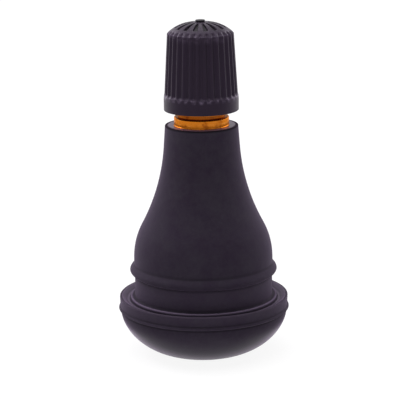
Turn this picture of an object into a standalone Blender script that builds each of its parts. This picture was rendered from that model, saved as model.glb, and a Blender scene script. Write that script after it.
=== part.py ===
"""Snap-in tyre valve with its cap on: rubber body, brass stem, valve core and fluted plastic cap.

The valve stands on the flat of its base with its axis along +Z, and every round piece turns about that axis.
Sizes are real ones, in metres. Heights are measured from the base, at Z = 0.
"""
import math

import bmesh
import bpy
from mathutils import Vector

MM = 0.001
UNIT = 1.0

# How finely curves are divided
RUBBER_SEGMENTS = 44
STEM_SEGMENTS = 36
CAP_SEGMENTS = 36
CORE_SEGMENTS = 22
PIN_SEGMENTS = 20
COLUMNS_PER_FLUTE = 4
BOWL_STEPS = 8
RIDGE_STEPS = 6
SHOULDER_STEPS = 5
WAIST_STEPS = 6
FLANGE_EDGE_STEPS = 2
ROUND_STEPS = 2                 # on small edge rounds
SPRING_STEPS = 10               # for each turn
SLOPE_HALVINGS = 40
SHARP_ANGLE = math.radians(32.0)
MERGE_DISTANCE = 0.0005 * MM

# Clearances
BOND_GAP = 0.05 * MM            # between the rubber and the brass that is moulded into it
SEAT_GAP = 0.05 * MM            # between faces that rest on each other
RUNNING_GAP = 0.08 * MM         # between a thread or a sliding piece and its bore
BREAK_EDGE = 0.05 * MM          # the small chamfer on the plug's and the washers' edges

# Rubber body, from the base up
PASSAGE_RADIUS = 1.5 * MM
BASE_FLARE = 0.7 * MM           # how much the passage opens out at the base
BASE_FLAT_WIDTH = 1.8 * MM
BOWL_HEIGHT = 6.0 * MM
BOWL_FULLNESS = 1.81            # exponent of the bowl's superellipse: 2 is a plain quarter ellipse
BOWL_INSET = 0.14 * MM          # how far the bowl's rim lies inside the flange
BEAD_PROUD = 0.17 * MM          # the moulding line round the flange, its widest place
BEAD_RISE = 0.2 * MM
FLANGE_RADIUS = 11.37 * MM
FLANGE_THICKNESS = 1.87 * MM    # up to the lip round its edge, which seals first
FLANGE_EDGE_ROUND = 0.18 * MM
LIP_WIDTH = 0.12 * MM
SEAT_DEPTH = 0.45 * MM          # how far the flat seat lies below the lip
SEAT_WIDTH = 0.5 * MM
FOOT_WIDTH = 0.65 * MM          # the low step from which the neck rises
FOOT_RISE = 0.34 * MM           # above the seat
FOOT_DRAFT = 0.085 * MM
NECK_RADIUS = 9.27 * MM
NECK_FOOT_ROUND = 0.3 * MM
RIDGE_OFFSET = 3.63 * MM        # from the flange's lip up to the middle of the retaining ridge
RIDGE_PROUD = 0.63 * MM
RIDGE_HALF_WIDTH = 0.88 * MM
BULGE_PROUD = 0.07 * MM
BULGE_OFFSET = 1.6 * MM         # from the ridge up to where the round shoulder starts
SHOULDER_SHARE = 0.267          # the shoulder's radius, as a share of it and the waist's together
TAPER_LENGTH = 2.8 * MM
TOP_TAPER = math.radians(4.05)
BODY_TOP_RADIUS = 4.88 * MM
BODY_TOP_ROUND = 0.1 * MM

# Brass stem: outside
STEM_TOP = 42.5 * MM
STEM_REACH = 11.3 * MM          # from the rubber's top rim to the stem's mouth
STEM_BURIED = 14.2 * MM         # how deep the stem goes into the rubber
SHANK_RADIUS = 3.3 * MM
BARB_DEPTH = 0.32 * MM
BARB_COUNT = 3
BARB_PITCH = 2.6 * MM
BARB_HEIGHT = 1.2 * MM
COLLAR_RADIUS = 3.66 * MM
COLLAR_BURIED = 1.6 * MM        # how far the collar reaches down into the rubber
COLLAR_RISE = 1.16 * MM         # how far it stands out of the rubber
COLLAR_CHAMFER = 0.1 * MM
GROOVE_WIDTH = 0.39 * MM
GROOVE_DEPTH = 0.5 * MM
LAND_CUT = 0.04 * MM            # how much smaller the land above the groove is than the collar
LAND_HEIGHT = 1.15 * MM
RELIEF_DEPTH = 0.22 * MM
RELIEF_HEIGHT = 0.5 * MM
STEM_THREAD_RADIUS = 3.85 * MM
STEM_LEAD_CHAMFER = 0.35 * MM

# Brass stem: bore
CORE_THREAD_RADIUS = 2.6 * MM
MOUTH_CHAMFER = 0.28 * MM
CONE_SHOULDER = 0.18 * MM       # how much the cone's top is smaller than the thread
CONE_SLOPE = math.radians(11.5)
CONE_HEIGHT = 2.3 * MM
CONE_LEAD = 0.3 * MM
CONE_STEP = 0.1 * MM            # from the cone's lower end in to the plain bore

# Valve core: the plug that screws into the stem
PLUG_DEPTH = 1.9 * MM           # from the stem's mouth down to the top of the plug's blade
PLUG_LENGTH = 4.3 * MM
PLUG_THREAD_LENGTH = 3.1 * MM
PLUG_NECK_CUT = 0.3 * MM
PLUG_CROWN = 0.75 * MM
PLUG_LIP_HEIGHT = 0.4 * MM
PLUG_ROOM = 0.11 * MM           # between the swivel's lip and the plug's bore
BLADE_THICKNESS = 1.7 * MM
BLADE_HEIGHT = 1.35 * MM

# Valve core: barrel, gasket, pin, spring and seal
SWIVEL_WALL = 0.35 * MM
SWIVEL_LIP = 0.14 * MM
SWIVEL_LIP_HEIGHT = 0.3 * MM
BARREL_HEAD_ROOM = 0.25 * MM
BARREL_HEAD_HEIGHT = 0.45 * MM
BARREL_ROOM = 0.17 * MM         # between the barrel and the stem's bore
BARREL_WALL = 0.3 * MM
BARREL_LENGTH = 7.9 * MM
CHAMBER_FLOOR = 1.2 * MM
CHAMBER_ROOF = 0.45 * MM
GASKET_CATCH = 0.23 * MM        # depth of the waist that holds the gasket
GASKET_LENGTH = 2.1 * MM
GASKET_CROWN = 0.15 * MM        # how far the gasket stands above the cone
PIN_RADIUS = 0.5 * MM
PIN_AIR_GAP = 0.35 * MM         # round the pin, for the air to pass
PIN_HEAD_FLARE = 0.18 * MM
PIN_HEAD_HEIGHT = 0.4 * MM
PIN_HEAD_CROWN = 0.06 * MM
PIN_HEAD_CHAMFER = 0.27 * MM
PIN_HEAD_LAND = 0.24 * MM       # the straight side of the pin's head
PIN_COLLAR_HEIGHT = 0.4 * MM
PIN_COLLAR_ROOM = 0.1 * MM
PIN_STROKE_GAP = 0.15 * MM
PIN_TRAVEL = 1.1 * MM           # down to where its head meets the plug's blade
PIN_RIVET_FLARE = 0.28 * MM
PIN_RIVET_HEIGHT = 0.35 * MM
PIN_RIVET_TAPER = 0.16 * MM
SPRING_ROOM = 0.18 * MM
SPRING_WIRE_RADIUS = 0.13 * MM
SPRING_TURNS = 7
CUP_ROOM = 0.23 * MM            # how much smaller the cup is than the barrel
CUP_WALL = 0.16 * MM
CUP_HEIGHT = 1.5 * MM
CUP_FLOOR = 0.65 * MM
WASHER_PROUD = 0.1 * MM         # how far the rubber washer stands above the cup's rim

# Cap and its seal
CAP_HEIGHT = 10.23 * MM         # from the lower edge to the edge of the dome
CAP_ROOF = 0.35 * MM            # from the ceiling inside to the edge of the dome
CAP_WALL = 0.47 * MM            # at the top, over the ribs
CAP_FLARE = 0.45 * MM           # how much wider the ribs stand at the ring
CAP_SHOULDER_ROUND = 0.1 * MM
RING_PROUD = 0.13 * MM
RING_HEIGHT = 1.85 * MM
RING_SLOPE = 0.4 * MM
RING_ROUND = 0.1 * MM
RING_BREAK = 0.03 * MM          # the step from the flutes' ends out to the ring
DOME_RISE = 1.48 * MM
DOME_POWER = 2.8
NUB_RADIUS = 0.66 * MM
NUB_RISE = 0.27 * MM
NUB_ROUND = 0.12 * MM
FLUTE_COUNT = 30
FLUTE_DEPTH = 0.26 * MM
FLUTE_RUN_OUT = 0.55 * MM
FLUTE_TAIL = 0.22 * MM          # the last of the run-out, where a flute goes from its tail's depth to none
FLUTE_TAIL_SHARE = 0.75
RAYS_PER_FLUTE = 0.5            # one ray on the dome for every second flute
RAY_DEPTH = 0.3 * MM
RAY_INSET = 0.35 * MM           # from the nub to where the rays start
RAY_MARGIN = 0.9 * MM           # from where they end to the edge of the dome
RAY_RUN_OUT = 0.35 * MM
RAY_ONSET = 0.7                 # share of its depth that a ray has after its run-out
CAP_MOUTH_CHAMFER = 0.4 * MM
SEAL_THICKNESS = 0.5 * MM
SEAL_INSET = 0.25 * MM          # how much smaller the seal is than the stem's thread
SEAL_HOLE_RADIUS = 1.6 * MM

# Places and sizes that follow from these
BASE_BORE_RADIUS = PASSAGE_RADIUS + BASE_FLARE
BASE_FLAT_RADIUS = BASE_BORE_RADIUS + BASE_FLAT_WIDTH
BOWL_RADIUS = FLANGE_RADIUS - BOWL_INSET
BEAD_RADIUS = FLANGE_RADIUS + BEAD_PROUD
FLANGE_TOP = BOWL_HEIGHT + FLANGE_THICKNESS
LIP_RADIUS = FLANGE_RADIUS - FLANGE_EDGE_ROUND - LIP_WIDTH
SEAT_HEIGHT = FLANGE_TOP - SEAT_DEPTH
FOOT_RADIUS = NECK_RADIUS + FOOT_WIDTH
RIDGE_RADIUS = NECK_RADIUS + RIDGE_PROUD
RIDGE_HEIGHT = FLANGE_TOP + RIDGE_OFFSET
BULGE_RADIUS = NECK_RADIUS + BULGE_PROUD
BULGE_HEIGHT = RIDGE_HEIGHT + BULGE_OFFSET
BODY_TOP = STEM_TOP - STEM_REACH
STEM_BOTTOM = BODY_TOP - STEM_BURIED
BARB_RADIUS = SHANK_RADIUS + BARB_DEPTH
GROOVE_RADIUS = COLLAR_RADIUS - GROOVE_DEPTH
LAND_RADIUS = COLLAR_RADIUS - LAND_CUT
RELIEF_RADIUS = LAND_RADIUS - RELIEF_DEPTH
CONE_TOP_RADIUS = CORE_THREAD_RADIUS - CONE_SHOULDER
CONE_BOTTOM_RADIUS = CONE_TOP_RADIUS - CONE_HEIGHT * math.tan(CONE_SLOPE)
STEM_BORE_RADIUS = CONE_BOTTOM_RADIUS - CONE_STEP
PLUG_TOP = STEM_TOP - PLUG_DEPTH
PLUG_BOTTOM = PLUG_TOP - PLUG_LENGTH
PLUG_NECK_RADIUS = CORE_THREAD_RADIUS - PLUG_NECK_CUT
BARREL_TOP = PLUG_BOTTOM - SEAT_GAP
BARREL_BOTTOM = BARREL_TOP - BARREL_LENGTH
BARREL_RADIUS = STEM_BORE_RADIUS - BARREL_ROOM
BARREL_HEAD_RADIUS = CONE_TOP_RADIUS - BARREL_HEAD_ROOM
BARREL_WAIST_RADIUS = BARREL_RADIUS - GASKET_CATCH
BARREL_MOUTH_RADIUS = PIN_RADIUS + PIN_AIR_GAP
CHAMBER_RADIUS = BARREL_WAIST_RADIUS - BARREL_WALL
SWIVEL_RADIUS = BARREL_MOUTH_RADIUS + SWIVEL_WALL
PLUG_BORE_RADIUS = SWIVEL_RADIUS + SWIVEL_LIP + PLUG_ROOM
GASKET_TOP = BARREL_TOP - BARREL_HEAD_HEIGHT - SEAT_GAP
CONE_TOP = GASKET_TOP - GASKET_CROWN
CONE_BOTTOM = CONE_TOP - CONE_HEIGHT
PIN_TOP = PLUG_TOP + 2.0 * SEAT_GAP + PIN_TRAVEL + PIN_HEAD_HEIGHT
PIN_HOLE_RADIUS = PIN_RADIUS + 2.0 * RUNNING_GAP
PIN_HEAD_RADIUS = PIN_RADIUS + PIN_HEAD_FLARE
PIN_COLLAR_RADIUS = CHAMBER_RADIUS - PIN_COLLAR_ROOM
PIN_COLLAR_TOP = BARREL_TOP - CHAMBER_ROOF - PIN_STROKE_GAP
PIN_RIVET_RADIUS = PIN_RADIUS + PIN_RIVET_FLARE
SPRING_RADIUS = CHAMBER_RADIUS - SPRING_ROOM - SPRING_WIRE_RADIUS
CUP_RADIUS = BARREL_RADIUS - CUP_ROOM
CUP_BOTTOM = BARREL_BOTTOM - SEAT_GAP - WASHER_PROUD - CUP_HEIGHT
SEAL_BOTTOM = STEM_TOP + SEAT_GAP
SEAL_RADIUS = STEM_THREAD_RADIUS - SEAL_INSET
CAP_BORE_RADIUS = STEM_THREAD_RADIUS + RUNNING_GAP
CAP_POCKET_RADIUS = SEAL_RADIUS + RUNNING_GAP
CAP_CEILING = SEAL_BOTTOM + SEAL_THICKNESS + SEAT_GAP
CAP_SHOULDER = CAP_CEILING + CAP_ROOF
CAP_SHOULDER_RADIUS = CAP_BORE_RADIUS + CAP_WALL
CAP_BOTTOM = CAP_SHOULDER - CAP_HEIGHT
CAP_FOOT_RADIUS = CAP_SHOULDER_RADIUS + CAP_FLARE
CAP_RING_RADIUS = CAP_FOOT_RADIUS + RING_PROUD
RAY_START = NUB_RADIUS + RAY_INSET
RAY_END = CAP_SHOULDER_RADIUS - RAY_MARGIN


def clear_scene():
    """Removes whatever the scene starts with."""
    for found in list(bpy.data.objects):
        bpy.data.objects.remove(found, do_unlink=True)


def plain_material(name, colour, roughness, metallic=0.0):
    """A Principled material with one colour (linear RGB), roughness and metallic value."""
    made = bpy.data.materials.new(name)
    made.use_nodes = True
    shader = made.node_tree.nodes["Principled BSDF"]
    shader.inputs["Base Color"].default_value = (*colour, 1.0)
    shader.inputs["Roughness"].default_value = roughness
    shader.inputs["Metallic"].default_value = metallic
    return made


def rubber_material(name):
    """Black moulded rubber."""
    return plain_material(name, (0.026, 0.021, 0.031), 0.55)


def brass_material(name):
    """Turned brass."""
    return plain_material(name, (0.64, 0.30, 0.05), 0.3, 1.0)


def cap_material(name):
    """Black moulded plastic."""
    return plain_material(name, (0.022, 0.018, 0.028), 0.42)


def steel_material(name):
    """Bright spring steel."""
    return plain_material(name, (0.5, 0.5, 0.5), 0.3, 1.0)


def gasket_material(name):
    """Red sealing plastic."""
    return plain_material(name, (0.42, 0.04, 0.03), 0.5)


def place(name, mesh, seat, material, parent):
    """Puts a mesh into the scene with its origin on the valve's axis, at the height of its seat."""
    piece = bpy.data.objects.new(name, mesh)
    piece.location = (0.0, 0.0, seat)
    piece.parent = parent
    piece.data.materials.append(material)
    bpy.context.scene.collection.objects.link(piece)
    return piece


def smooth(mesh):
    """Smooth shading, with edges kept crisp past an angle."""
    mesh.shade_smooth()
    mesh.set_sharp_from_angle(angle=SHARP_ANGLE)


def arc(centre_radius, centre_height, size, start, end, steps):
    """Points of an arc in the turning plane, with angles in degrees from the outward direction."""
    points = []
    for step in range(steps + 1):
        angle = math.radians(start + (end - start) * step / steps)
        points.append((centre_radius + size * math.cos(angle), centre_height + size * math.sin(angle)))
    return points


def turned_mesh(name, outline, seat, segments):
    """Turns an outline of (radius, height) points about the axis. An outline that starts and ends on the
    axis makes a solid piece, and any other outline is closed into a ring."""
    shape = bmesh.new()
    points = [shape.verts.new((radius, 0.0, height - seat)) for radius, height in outline]
    edges = [shape.edges.new(pair) for pair in zip(points, points[1:])]
    if outline[0][0] > 0.0:
        edges.append(shape.edges.new((points[-1], points[0])))
    bmesh.ops.spin(shape, geom=points + edges, cent=(0.0, 0.0, 0.0), axis=(0.0, 0.0, 1.0),
                   angle=math.tau, steps=segments, use_merge=True)
    bmesh.ops.remove_doubles(shape, verts=shape.verts, dist=MERGE_DISTANCE)
    bmesh.ops.recalc_face_normals(shape, faces=shape.faces)
    mesh = bpy.data.meshes.new(name)
    shape.to_mesh(mesh)
    shape.free()
    return mesh


def turned(name, outline, seat, segments, material, parent):
    """A turned piece, shaded smooth."""
    mesh = turned_mesh(name, outline, seat, segments)
    smooth(mesh)
    return place(name, mesh, seat, material, parent)


def cutter(name, mesh, seat, parent, target):
    """Hides a mesh as a guide and cuts it out of the target."""
    tool = bpy.data.objects.new(name, mesh)
    tool.location = (0.0, 0.0, seat)
    tool.parent = parent
    tool.hide_render = True
    tool.display_type = "WIRE"
    bpy.context.scene.collection.objects.link(tool)
    cut = target.modifiers.new(name, "BOOLEAN")
    cut.operation = "DIFFERENCE"
    cut.solver = "EXACT"
    cut.object = tool
    return tool


def bowl_outline():
    """The rounded underside, as a superellipse from the moulding line in to the flat base."""
    width = BOWL_RADIUS - BASE_FLAT_RADIUS
    points = []
    for step in range(1, BOWL_STEPS + 1):
        angle = 0.5 * math.pi * step / BOWL_STEPS
        across = math.cos(angle) ** (2.0 / BOWL_FULLNESS)
        up = math.sin(angle) ** (2.0 / BOWL_FULLNESS)
        points.append((BASE_FLAT_RADIUS + width * across, BOWL_HEIGHT * (1.0 - up)))
    return points


def wall_radii(slope):
    """The two radii of the wall, shoulder and waist, that fill its height for one steepest slope."""
    height = BODY_TOP - BULGE_HEIGHT - TAPER_LENGTH
    together = height / (math.sin(slope) - (1.0 - SHOULDER_SHARE) * math.sin(TOP_TAPER))
    return together * SHOULDER_SHARE, together * (1.0 - SHOULDER_SHARE)


def wall_reach(slope):
    """How far the wall comes in from the bulge to the body's top for one steepest slope."""
    shoulder, waist = wall_radii(slope)
    curved = shoulder * (1.0 - math.cos(slope)) + waist * (math.cos(TOP_TAPER) - math.cos(slope))
    return curved + TAPER_LENGTH * math.tan(TOP_TAPER)


def steepest_slope():
    """The slope where the round shoulder runs into the hollow waist, so that the wall meets the top rim."""
    low, high = 1.5 * TOP_TAPER, math.radians(80.0)
    for _ in range(SLOPE_HALVINGS):
        middle = 0.5 * (low + high)
        if wall_reach(middle) < BULGE_RADIUS - BODY_TOP_RADIUS:
            low = middle
        else:
            high = middle
    return low


def wall_outline():
    """The side of the body from the bulge up to the top rim: a round shoulder, a hollow waist and a taper."""
    turn = steepest_slope()
    slope = math.degrees(turn)
    shoulder_radius, waist_radius = wall_radii(turn)
    shoulder = arc(BULGE_RADIUS - shoulder_radius, BULGE_HEIGHT, shoulder_radius, 0.0, slope, SHOULDER_STEPS)
    end_radius, end_height = shoulder[-1]
    waist = arc(end_radius + waist_radius * math.cos(turn), end_height + waist_radius * math.sin(turn),
                waist_radius, 180.0 + slope, 180.0 + math.degrees(TOP_TAPER), WAIST_STEPS)
    rim = arc(BODY_TOP_RADIUS - BODY_TOP_ROUND, BODY_TOP - BODY_TOP_ROUND, BODY_TOP_ROUND, 0.0, 90.0,
              ROUND_STEPS)
    return shoulder + waist[1:] + rim


def ridge_outline():
    """The retaining ridge: a low round swelling between the neck and the bulge."""
    points = []
    for step in range(RIDGE_STEPS + 1):
        across = -1.0 + 2.0 * step / RIDGE_STEPS
        ground = NECK_RADIUS if across < 0.0 else BULGE_RADIUS
        swell = math.cos(0.5 * math.pi * across)
        points.append((ground + (RIDGE_RADIUS - ground) * swell, RIDGE_HEIGHT + RIDGE_HALF_WIDTH * across))
    return points


def flange_outline():
    """The flange: moulding line, sealing lip, the flat seat inside it, low step and the foot of the neck."""
    edge = arc(FLANGE_RADIUS - FLANGE_EDGE_ROUND, FLANGE_TOP - FLANGE_EDGE_ROUND, FLANGE_EDGE_ROUND,
               0.0, 90.0, FLANGE_EDGE_STEPS)
    step_top = SEAT_HEIGHT + FOOT_RISE
    foot = arc(NECK_RADIUS + NECK_FOOT_ROUND, step_top + NECK_FOOT_ROUND, NECK_FOOT_ROUND, 270.0, 180.0,
               ROUND_STEPS)
    bead = [(BOWL_RADIUS, BOWL_HEIGHT), (BEAD_RADIUS, BOWL_HEIGHT + BEAD_RISE)]
    seat = [(LIP_RADIUS, FLANGE_TOP), (FOOT_RADIUS + SEAT_WIDTH, SEAT_HEIGHT)]
    step = [(FOOT_RADIUS, SEAT_HEIGHT), (FOOT_RADIUS - FOOT_DRAFT, step_top)]
    return bead + edge + seat + step + foot


def barb_heights():
    """Heights of the undersides of the barbs on the buried shank, from the lowest up."""
    first = STEM_BOTTOM + BARB_PITCH
    return [first + index * BARB_PITCH for index in range(BARB_COUNT)]


def shank_outline(grown):
    """The part of the stem that the rubber holds, from the rubber's top down to the stem's end.
    Grown by the bond gap it is also the socket in the rubber."""
    collar_bottom = BODY_TOP - COLLAR_BURIED - grown
    shank = SHANK_RADIUS + grown
    points = [(COLLAR_RADIUS + grown, collar_bottom), (shank, collar_bottom)]
    for height in reversed(barb_heights()):
        points.append((shank, height + BARB_HEIGHT))
        points.append((BARB_RADIUS + grown, height - grown))
        points.append((shank, height - grown))
    points.append((shank, STEM_BOTTOM - grown))
    return points


def build_rubber_body(parent):
    """Rubber body, from the base bore round the outside and back down the socket that holds the stem."""
    outline = [(BASE_BORE_RADIUS, 0.0)]
    outline += list(reversed(bowl_outline()))
    outline += flange_outline()
    outline += ridge_outline()
    outline += wall_outline()
    outline.append((COLLAR_RADIUS + BOND_GAP, BODY_TOP))
    outline += shank_outline(BOND_GAP)
    outline.append((PASSAGE_RADIUS, STEM_BOTTOM - BOND_GAP))
    outline.append((PASSAGE_RADIUS, BASE_FLARE))
    return turned("rubber_body", outline, 0.0, RUBBER_SEGMENTS, rubber_material("moulded_rubber"), parent)


def thread_start():
    """Height at which the stem's outer thread begins, above the collar, groove, land and relief."""
    return BODY_TOP + COLLAR_RISE + GROOVE_WIDTH + LAND_HEIGHT + RELIEF_HEIGHT


def build_stem(parent):
    """Brass stem: threaded end, collar with its groove, barbed shank, and the stepped bore for the core."""
    collar_top = BODY_TOP + COLLAR_RISE
    land_bottom = collar_top + GROOVE_WIDTH
    land_top = land_bottom + LAND_HEIGHT
    outline = [
        (CORE_THREAD_RADIUS + MOUTH_CHAMFER, STEM_TOP),
        (STEM_THREAD_RADIUS - STEM_LEAD_CHAMFER, STEM_TOP),
        (STEM_THREAD_RADIUS, STEM_TOP - STEM_LEAD_CHAMFER),
        (STEM_THREAD_RADIUS, thread_start()),
        (RELIEF_RADIUS, land_top + 0.5 * RELIEF_HEIGHT),
        (LAND_RADIUS, land_top),
        (LAND_RADIUS, land_bottom),
        (GROOVE_RADIUS, land_bottom),
        (GROOVE_RADIUS, collar_top),
        (COLLAR_RADIUS - COLLAR_CHAMFER, collar_top),
        (COLLAR_RADIUS, collar_top - COLLAR_CHAMFER),
    ]
    outline += shank_outline(0.0)
    outline += [
        (STEM_BORE_RADIUS, STEM_BOTTOM),
        (STEM_BORE_RADIUS, CONE_BOTTOM - CONE_LEAD),
        (CONE_BOTTOM_RADIUS, CONE_BOTTOM),
        (CONE_TOP_RADIUS, CONE_TOP),
        (CORE_THREAD_RADIUS, CONE_TOP + CONE_LEAD),
        (CORE_THREAD_RADIUS, STEM_TOP - MOUTH_CHAMFER),
    ]
    return turned("stem", outline, STEM_BOTTOM, STEM_SEGMENTS, brass_material("turned_brass"), parent)


def build_core_plug(parent):
    """Threaded core plug: a turned bush whose top is cut down to a blade that crosses its bore."""
    top, bottom = PLUG_TOP, PLUG_BOTTOM
    thread_top = bottom + PLUG_THREAD_LENGTH
    thread_radius = CORE_THREAD_RADIUS - RUNNING_GAP
    lip_radius = SWIVEL_RADIUS + RUNNING_GAP
    outline = [
        (PIN_HOLE_RADIUS, top),
        (PLUG_NECK_RADIUS, top),
        (PLUG_NECK_RADIUS, thread_top + 0.5 * (thread_radius - PLUG_NECK_RADIUS)),
        (thread_radius, thread_top),
        (thread_radius, bottom + BREAK_EDGE),
        (thread_radius - BREAK_EDGE, bottom),
        (lip_radius, bottom),
        (lip_radius, bottom + PLUG_LIP_HEIGHT),
        (PLUG_BORE_RADIUS, bottom + PLUG_LIP_HEIGHT),
        (PLUG_BORE_RADIUS, top - PLUG_CROWN),
        (PIN_HOLE_RADIUS, top - PLUG_CROWN),
    ]
    plug = turned("core_plug", outline, bottom, CORE_SEGMENTS, brass_material("core_brass"), parent)
    reach = 2.0 * CORE_THREAD_RADIUS
    shape = bmesh.new()
    for side in (-1.0, 1.0):
        corners = bmesh.ops.create_cube(shape, size=UNIT)["verts"]
        bmesh.ops.scale(shape, verts=corners, vec=(2.0 * reach, reach, 2.0 * BLADE_HEIGHT))
        middle = Vector((0.0, side * 0.5 * (BLADE_THICKNESS + reach), 0.0))
        bmesh.ops.translate(shape, verts=corners, vec=middle)
    mesh = bpy.data.meshes.new("plug_flats")
    shape.to_mesh(mesh)
    shape.free()
    cutter("plug_flats", mesh, top, parent, plug)
    return plug


def build_core_barrel(parent):
    """Core barrel: a swivel neck caught in the plug, a head, a waist for the gasket and a spring chamber."""
    top, bottom = BARREL_TOP, BARREL_BOTTOM
    neck_top = PLUG_BOTTOM + PLUG_LIP_HEIGHT + SEAT_GAP + SWIVEL_LIP_HEIGHT
    lip_bottom = neck_top - SWIVEL_LIP_HEIGHT
    head_bottom = top - BARREL_HEAD_HEIGHT
    waist_bottom = GASKET_TOP - GASKET_LENGTH - SEAT_GAP
    outline = [
        (BARREL_MOUTH_RADIUS, neck_top),
        (SWIVEL_RADIUS + SWIVEL_LIP, neck_top),
        (SWIVEL_RADIUS + SWIVEL_LIP, lip_bottom),
        (SWIVEL_RADIUS, lip_bottom),
        (SWIVEL_RADIUS, top),
        (BARREL_HEAD_RADIUS, top),
        (BARREL_HEAD_RADIUS, head_bottom),
        (BARREL_WAIST_RADIUS, head_bottom),
        (BARREL_WAIST_RADIUS, waist_bottom),
        (BARREL_RADIUS, waist_bottom),
        (BARREL_RADIUS, bottom + 0.5 * CHAMBER_FLOOR),
        (CUP_RADIUS, bottom),
        (BARREL_MOUTH_RADIUS, bottom),
        (BARREL_MOUTH_RADIUS, bottom + CHAMBER_FLOOR),
        (CHAMBER_RADIUS, bottom + CHAMBER_FLOOR),
        (CHAMBER_RADIUS, top - CHAMBER_ROOF),
        (BARREL_MOUTH_RADIUS, top - CHAMBER_ROOF),
    ]
    return turned("core_barrel", outline, top, CORE_SEGMENTS, brass_material("barrel_brass"), parent)


def cone_radius(height):
    """Radius of the stem's conical seat at a height."""
    return CONE_TOP_RADIUS - (CONE_TOP - height) * math.tan(CONE_SLOPE)


def build_core_gasket(parent):
    """Tapered gasket that seats in the stem's cone and fills the barrel's waist."""
    bottom = GASKET_TOP - GASKET_LENGTH
    inner = BARREL_WAIST_RADIUS + SEAT_GAP
    crown = CONE_TOP_RADIUS - SEAT_GAP
    outline = [
        (inner, GASKET_TOP),
        (crown, GASKET_TOP),
        (crown, CONE_TOP),
        (cone_radius(bottom) - SEAT_GAP, bottom),
        (inner, bottom),
    ]
    return turned("core_gasket", outline, GASKET_TOP, CORE_SEGMENTS, gasket_material("gasket_red"), parent)


def build_core_pin(parent):
    """Core pin: an upset head, a thin rod, the collar that the spring lifts and a riveted end."""
    top = PIN_TOP
    head_bottom = top - PIN_HEAD_HEIGHT
    collar_bottom = PIN_COLLAR_TOP - PIN_COLLAR_HEIGHT
    rivet_top = CUP_BOTTOM - SEAT_GAP
    rivet_bottom = rivet_top - PIN_RIVET_HEIGHT
    outline = [
        (0.0, top),
        (PIN_HEAD_RADIUS - PIN_HEAD_CHAMFER, top - PIN_HEAD_CROWN),
        (PIN_HEAD_RADIUS, head_bottom + PIN_HEAD_LAND),
        (PIN_HEAD_RADIUS, head_bottom),
        (PIN_RADIUS, head_bottom),
        (PIN_RADIUS, PIN_COLLAR_TOP),
        (PIN_COLLAR_RADIUS, PIN_COLLAR_TOP),
        (PIN_COLLAR_RADIUS, collar_bottom),
        (PIN_RADIUS, collar_bottom),
        (PIN_RADIUS, rivet_top),
        (PIN_RIVET_RADIUS, rivet_top),
        (PIN_RIVET_RADIUS - PIN_RIVET_TAPER, rivet_bottom),
        (0.0, rivet_bottom),
    ]
    return turned("core_pin", outline, top, PIN_SEGMENTS, brass_material("pin_brass"), parent)


def build_core_spring(parent):
    """Coil spring round the pin, between the chamber's floor and the pin's collar."""
    bottom = BARREL_BOTTOM + CHAMBER_FLOOR + SEAT_GAP + SPRING_WIRE_RADIUS
    top = PIN_COLLAR_TOP - PIN_COLLAR_HEIGHT - SEAT_GAP - SPRING_WIRE_RADIUS
    count = SPRING_TURNS * SPRING_STEPS
    curve = bpy.data.curves.new("core_spring", "CURVE")
    curve.dimensions = "3D"
    curve.bevel_depth = SPRING_WIRE_RADIUS
    curve.bevel_resolution = 1
    curve.use_fill_caps = True
    spline = curve.splines.new("POLY")
    spline.points.add(count)
    for index, point in enumerate(spline.points):
        angle = math.tau * index / SPRING_STEPS
        height = (top - bottom) * index / count
        point.co = (SPRING_RADIUS * math.cos(angle), SPRING_RADIUS * math.sin(angle), height, 1.0)
    return place("core_spring", curve, bottom, steel_material("spring_steel"), parent)


def build_seal_cup(parent):
    """Small brass cup that the pin carries, holding the rubber washer against the barrel's mouth."""
    bottom = CUP_BOTTOM
    hole = PIN_RADIUS + SEAT_GAP
    outline = [
        (CUP_RADIUS - CUP_WALL, bottom + CUP_HEIGHT),
        (CUP_RADIUS, bottom + CUP_HEIGHT),
        (CUP_RADIUS, bottom + CUP_WALL),
        (CUP_RADIUS - CUP_WALL, bottom),
        (hole, bottom),
        (hole, bottom + CUP_FLOOR),
        (CUP_RADIUS - CUP_WALL, bottom + CUP_FLOOR),
    ]
    return turned("seal_cup", outline, bottom, CORE_SEGMENTS, brass_material("cup_brass"), parent)


def build_seal_washer(parent):
    """Rubber washer in the cup."""
    bottom = CUP_BOTTOM + CUP_FLOOR + SEAT_GAP
    top = CUP_BOTTOM + CUP_HEIGHT + WASHER_PROUD
    hole = PIN_RADIUS + SEAT_GAP
    outer = CUP_RADIUS - CUP_WALL - SEAT_GAP
    outline = [
        (hole, top),
        (outer - BREAK_EDGE, top),
        (outer, top - BREAK_EDGE),
        (outer, bottom),
        (hole, bottom),
    ]
    return turned("seal_washer", outline, bottom, CORE_SEGMENTS, rubber_material("washer_rubber"), parent)


def build_cap_seal(parent):
    """Flat rubber ring between the stem's mouth and the inside of the cap."""
    bottom = SEAL_BOTTOM
    top = bottom + SEAL_THICKNESS
    outline = [
        (SEAL_HOLE_RADIUS, top),
        (SEAL_RADIUS - BREAK_EDGE, top),
        (SEAL_RADIUS, top - BREAK_EDGE),
        (SEAL_RADIUS, bottom),
        (SEAL_HOLE_RADIUS, bottom),
    ]
    return turned("cap_seal", outline, bottom, CAP_SEGMENTS, rubber_material("seal_rubber"), parent)


def dome_height(radius):
    """Height of the dome's surface at a radius, before its rays are cut."""
    return CAP_SHOULDER + DOME_RISE * (1.0 - (radius / CAP_SHOULDER_RADIUS) ** DOME_POWER)


def wave(angle, count):
    """0 on the ribs and 1 in the grooves between them, with rounded flanks."""
    return 0.5 - 0.5 * math.cos(count * angle)


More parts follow.
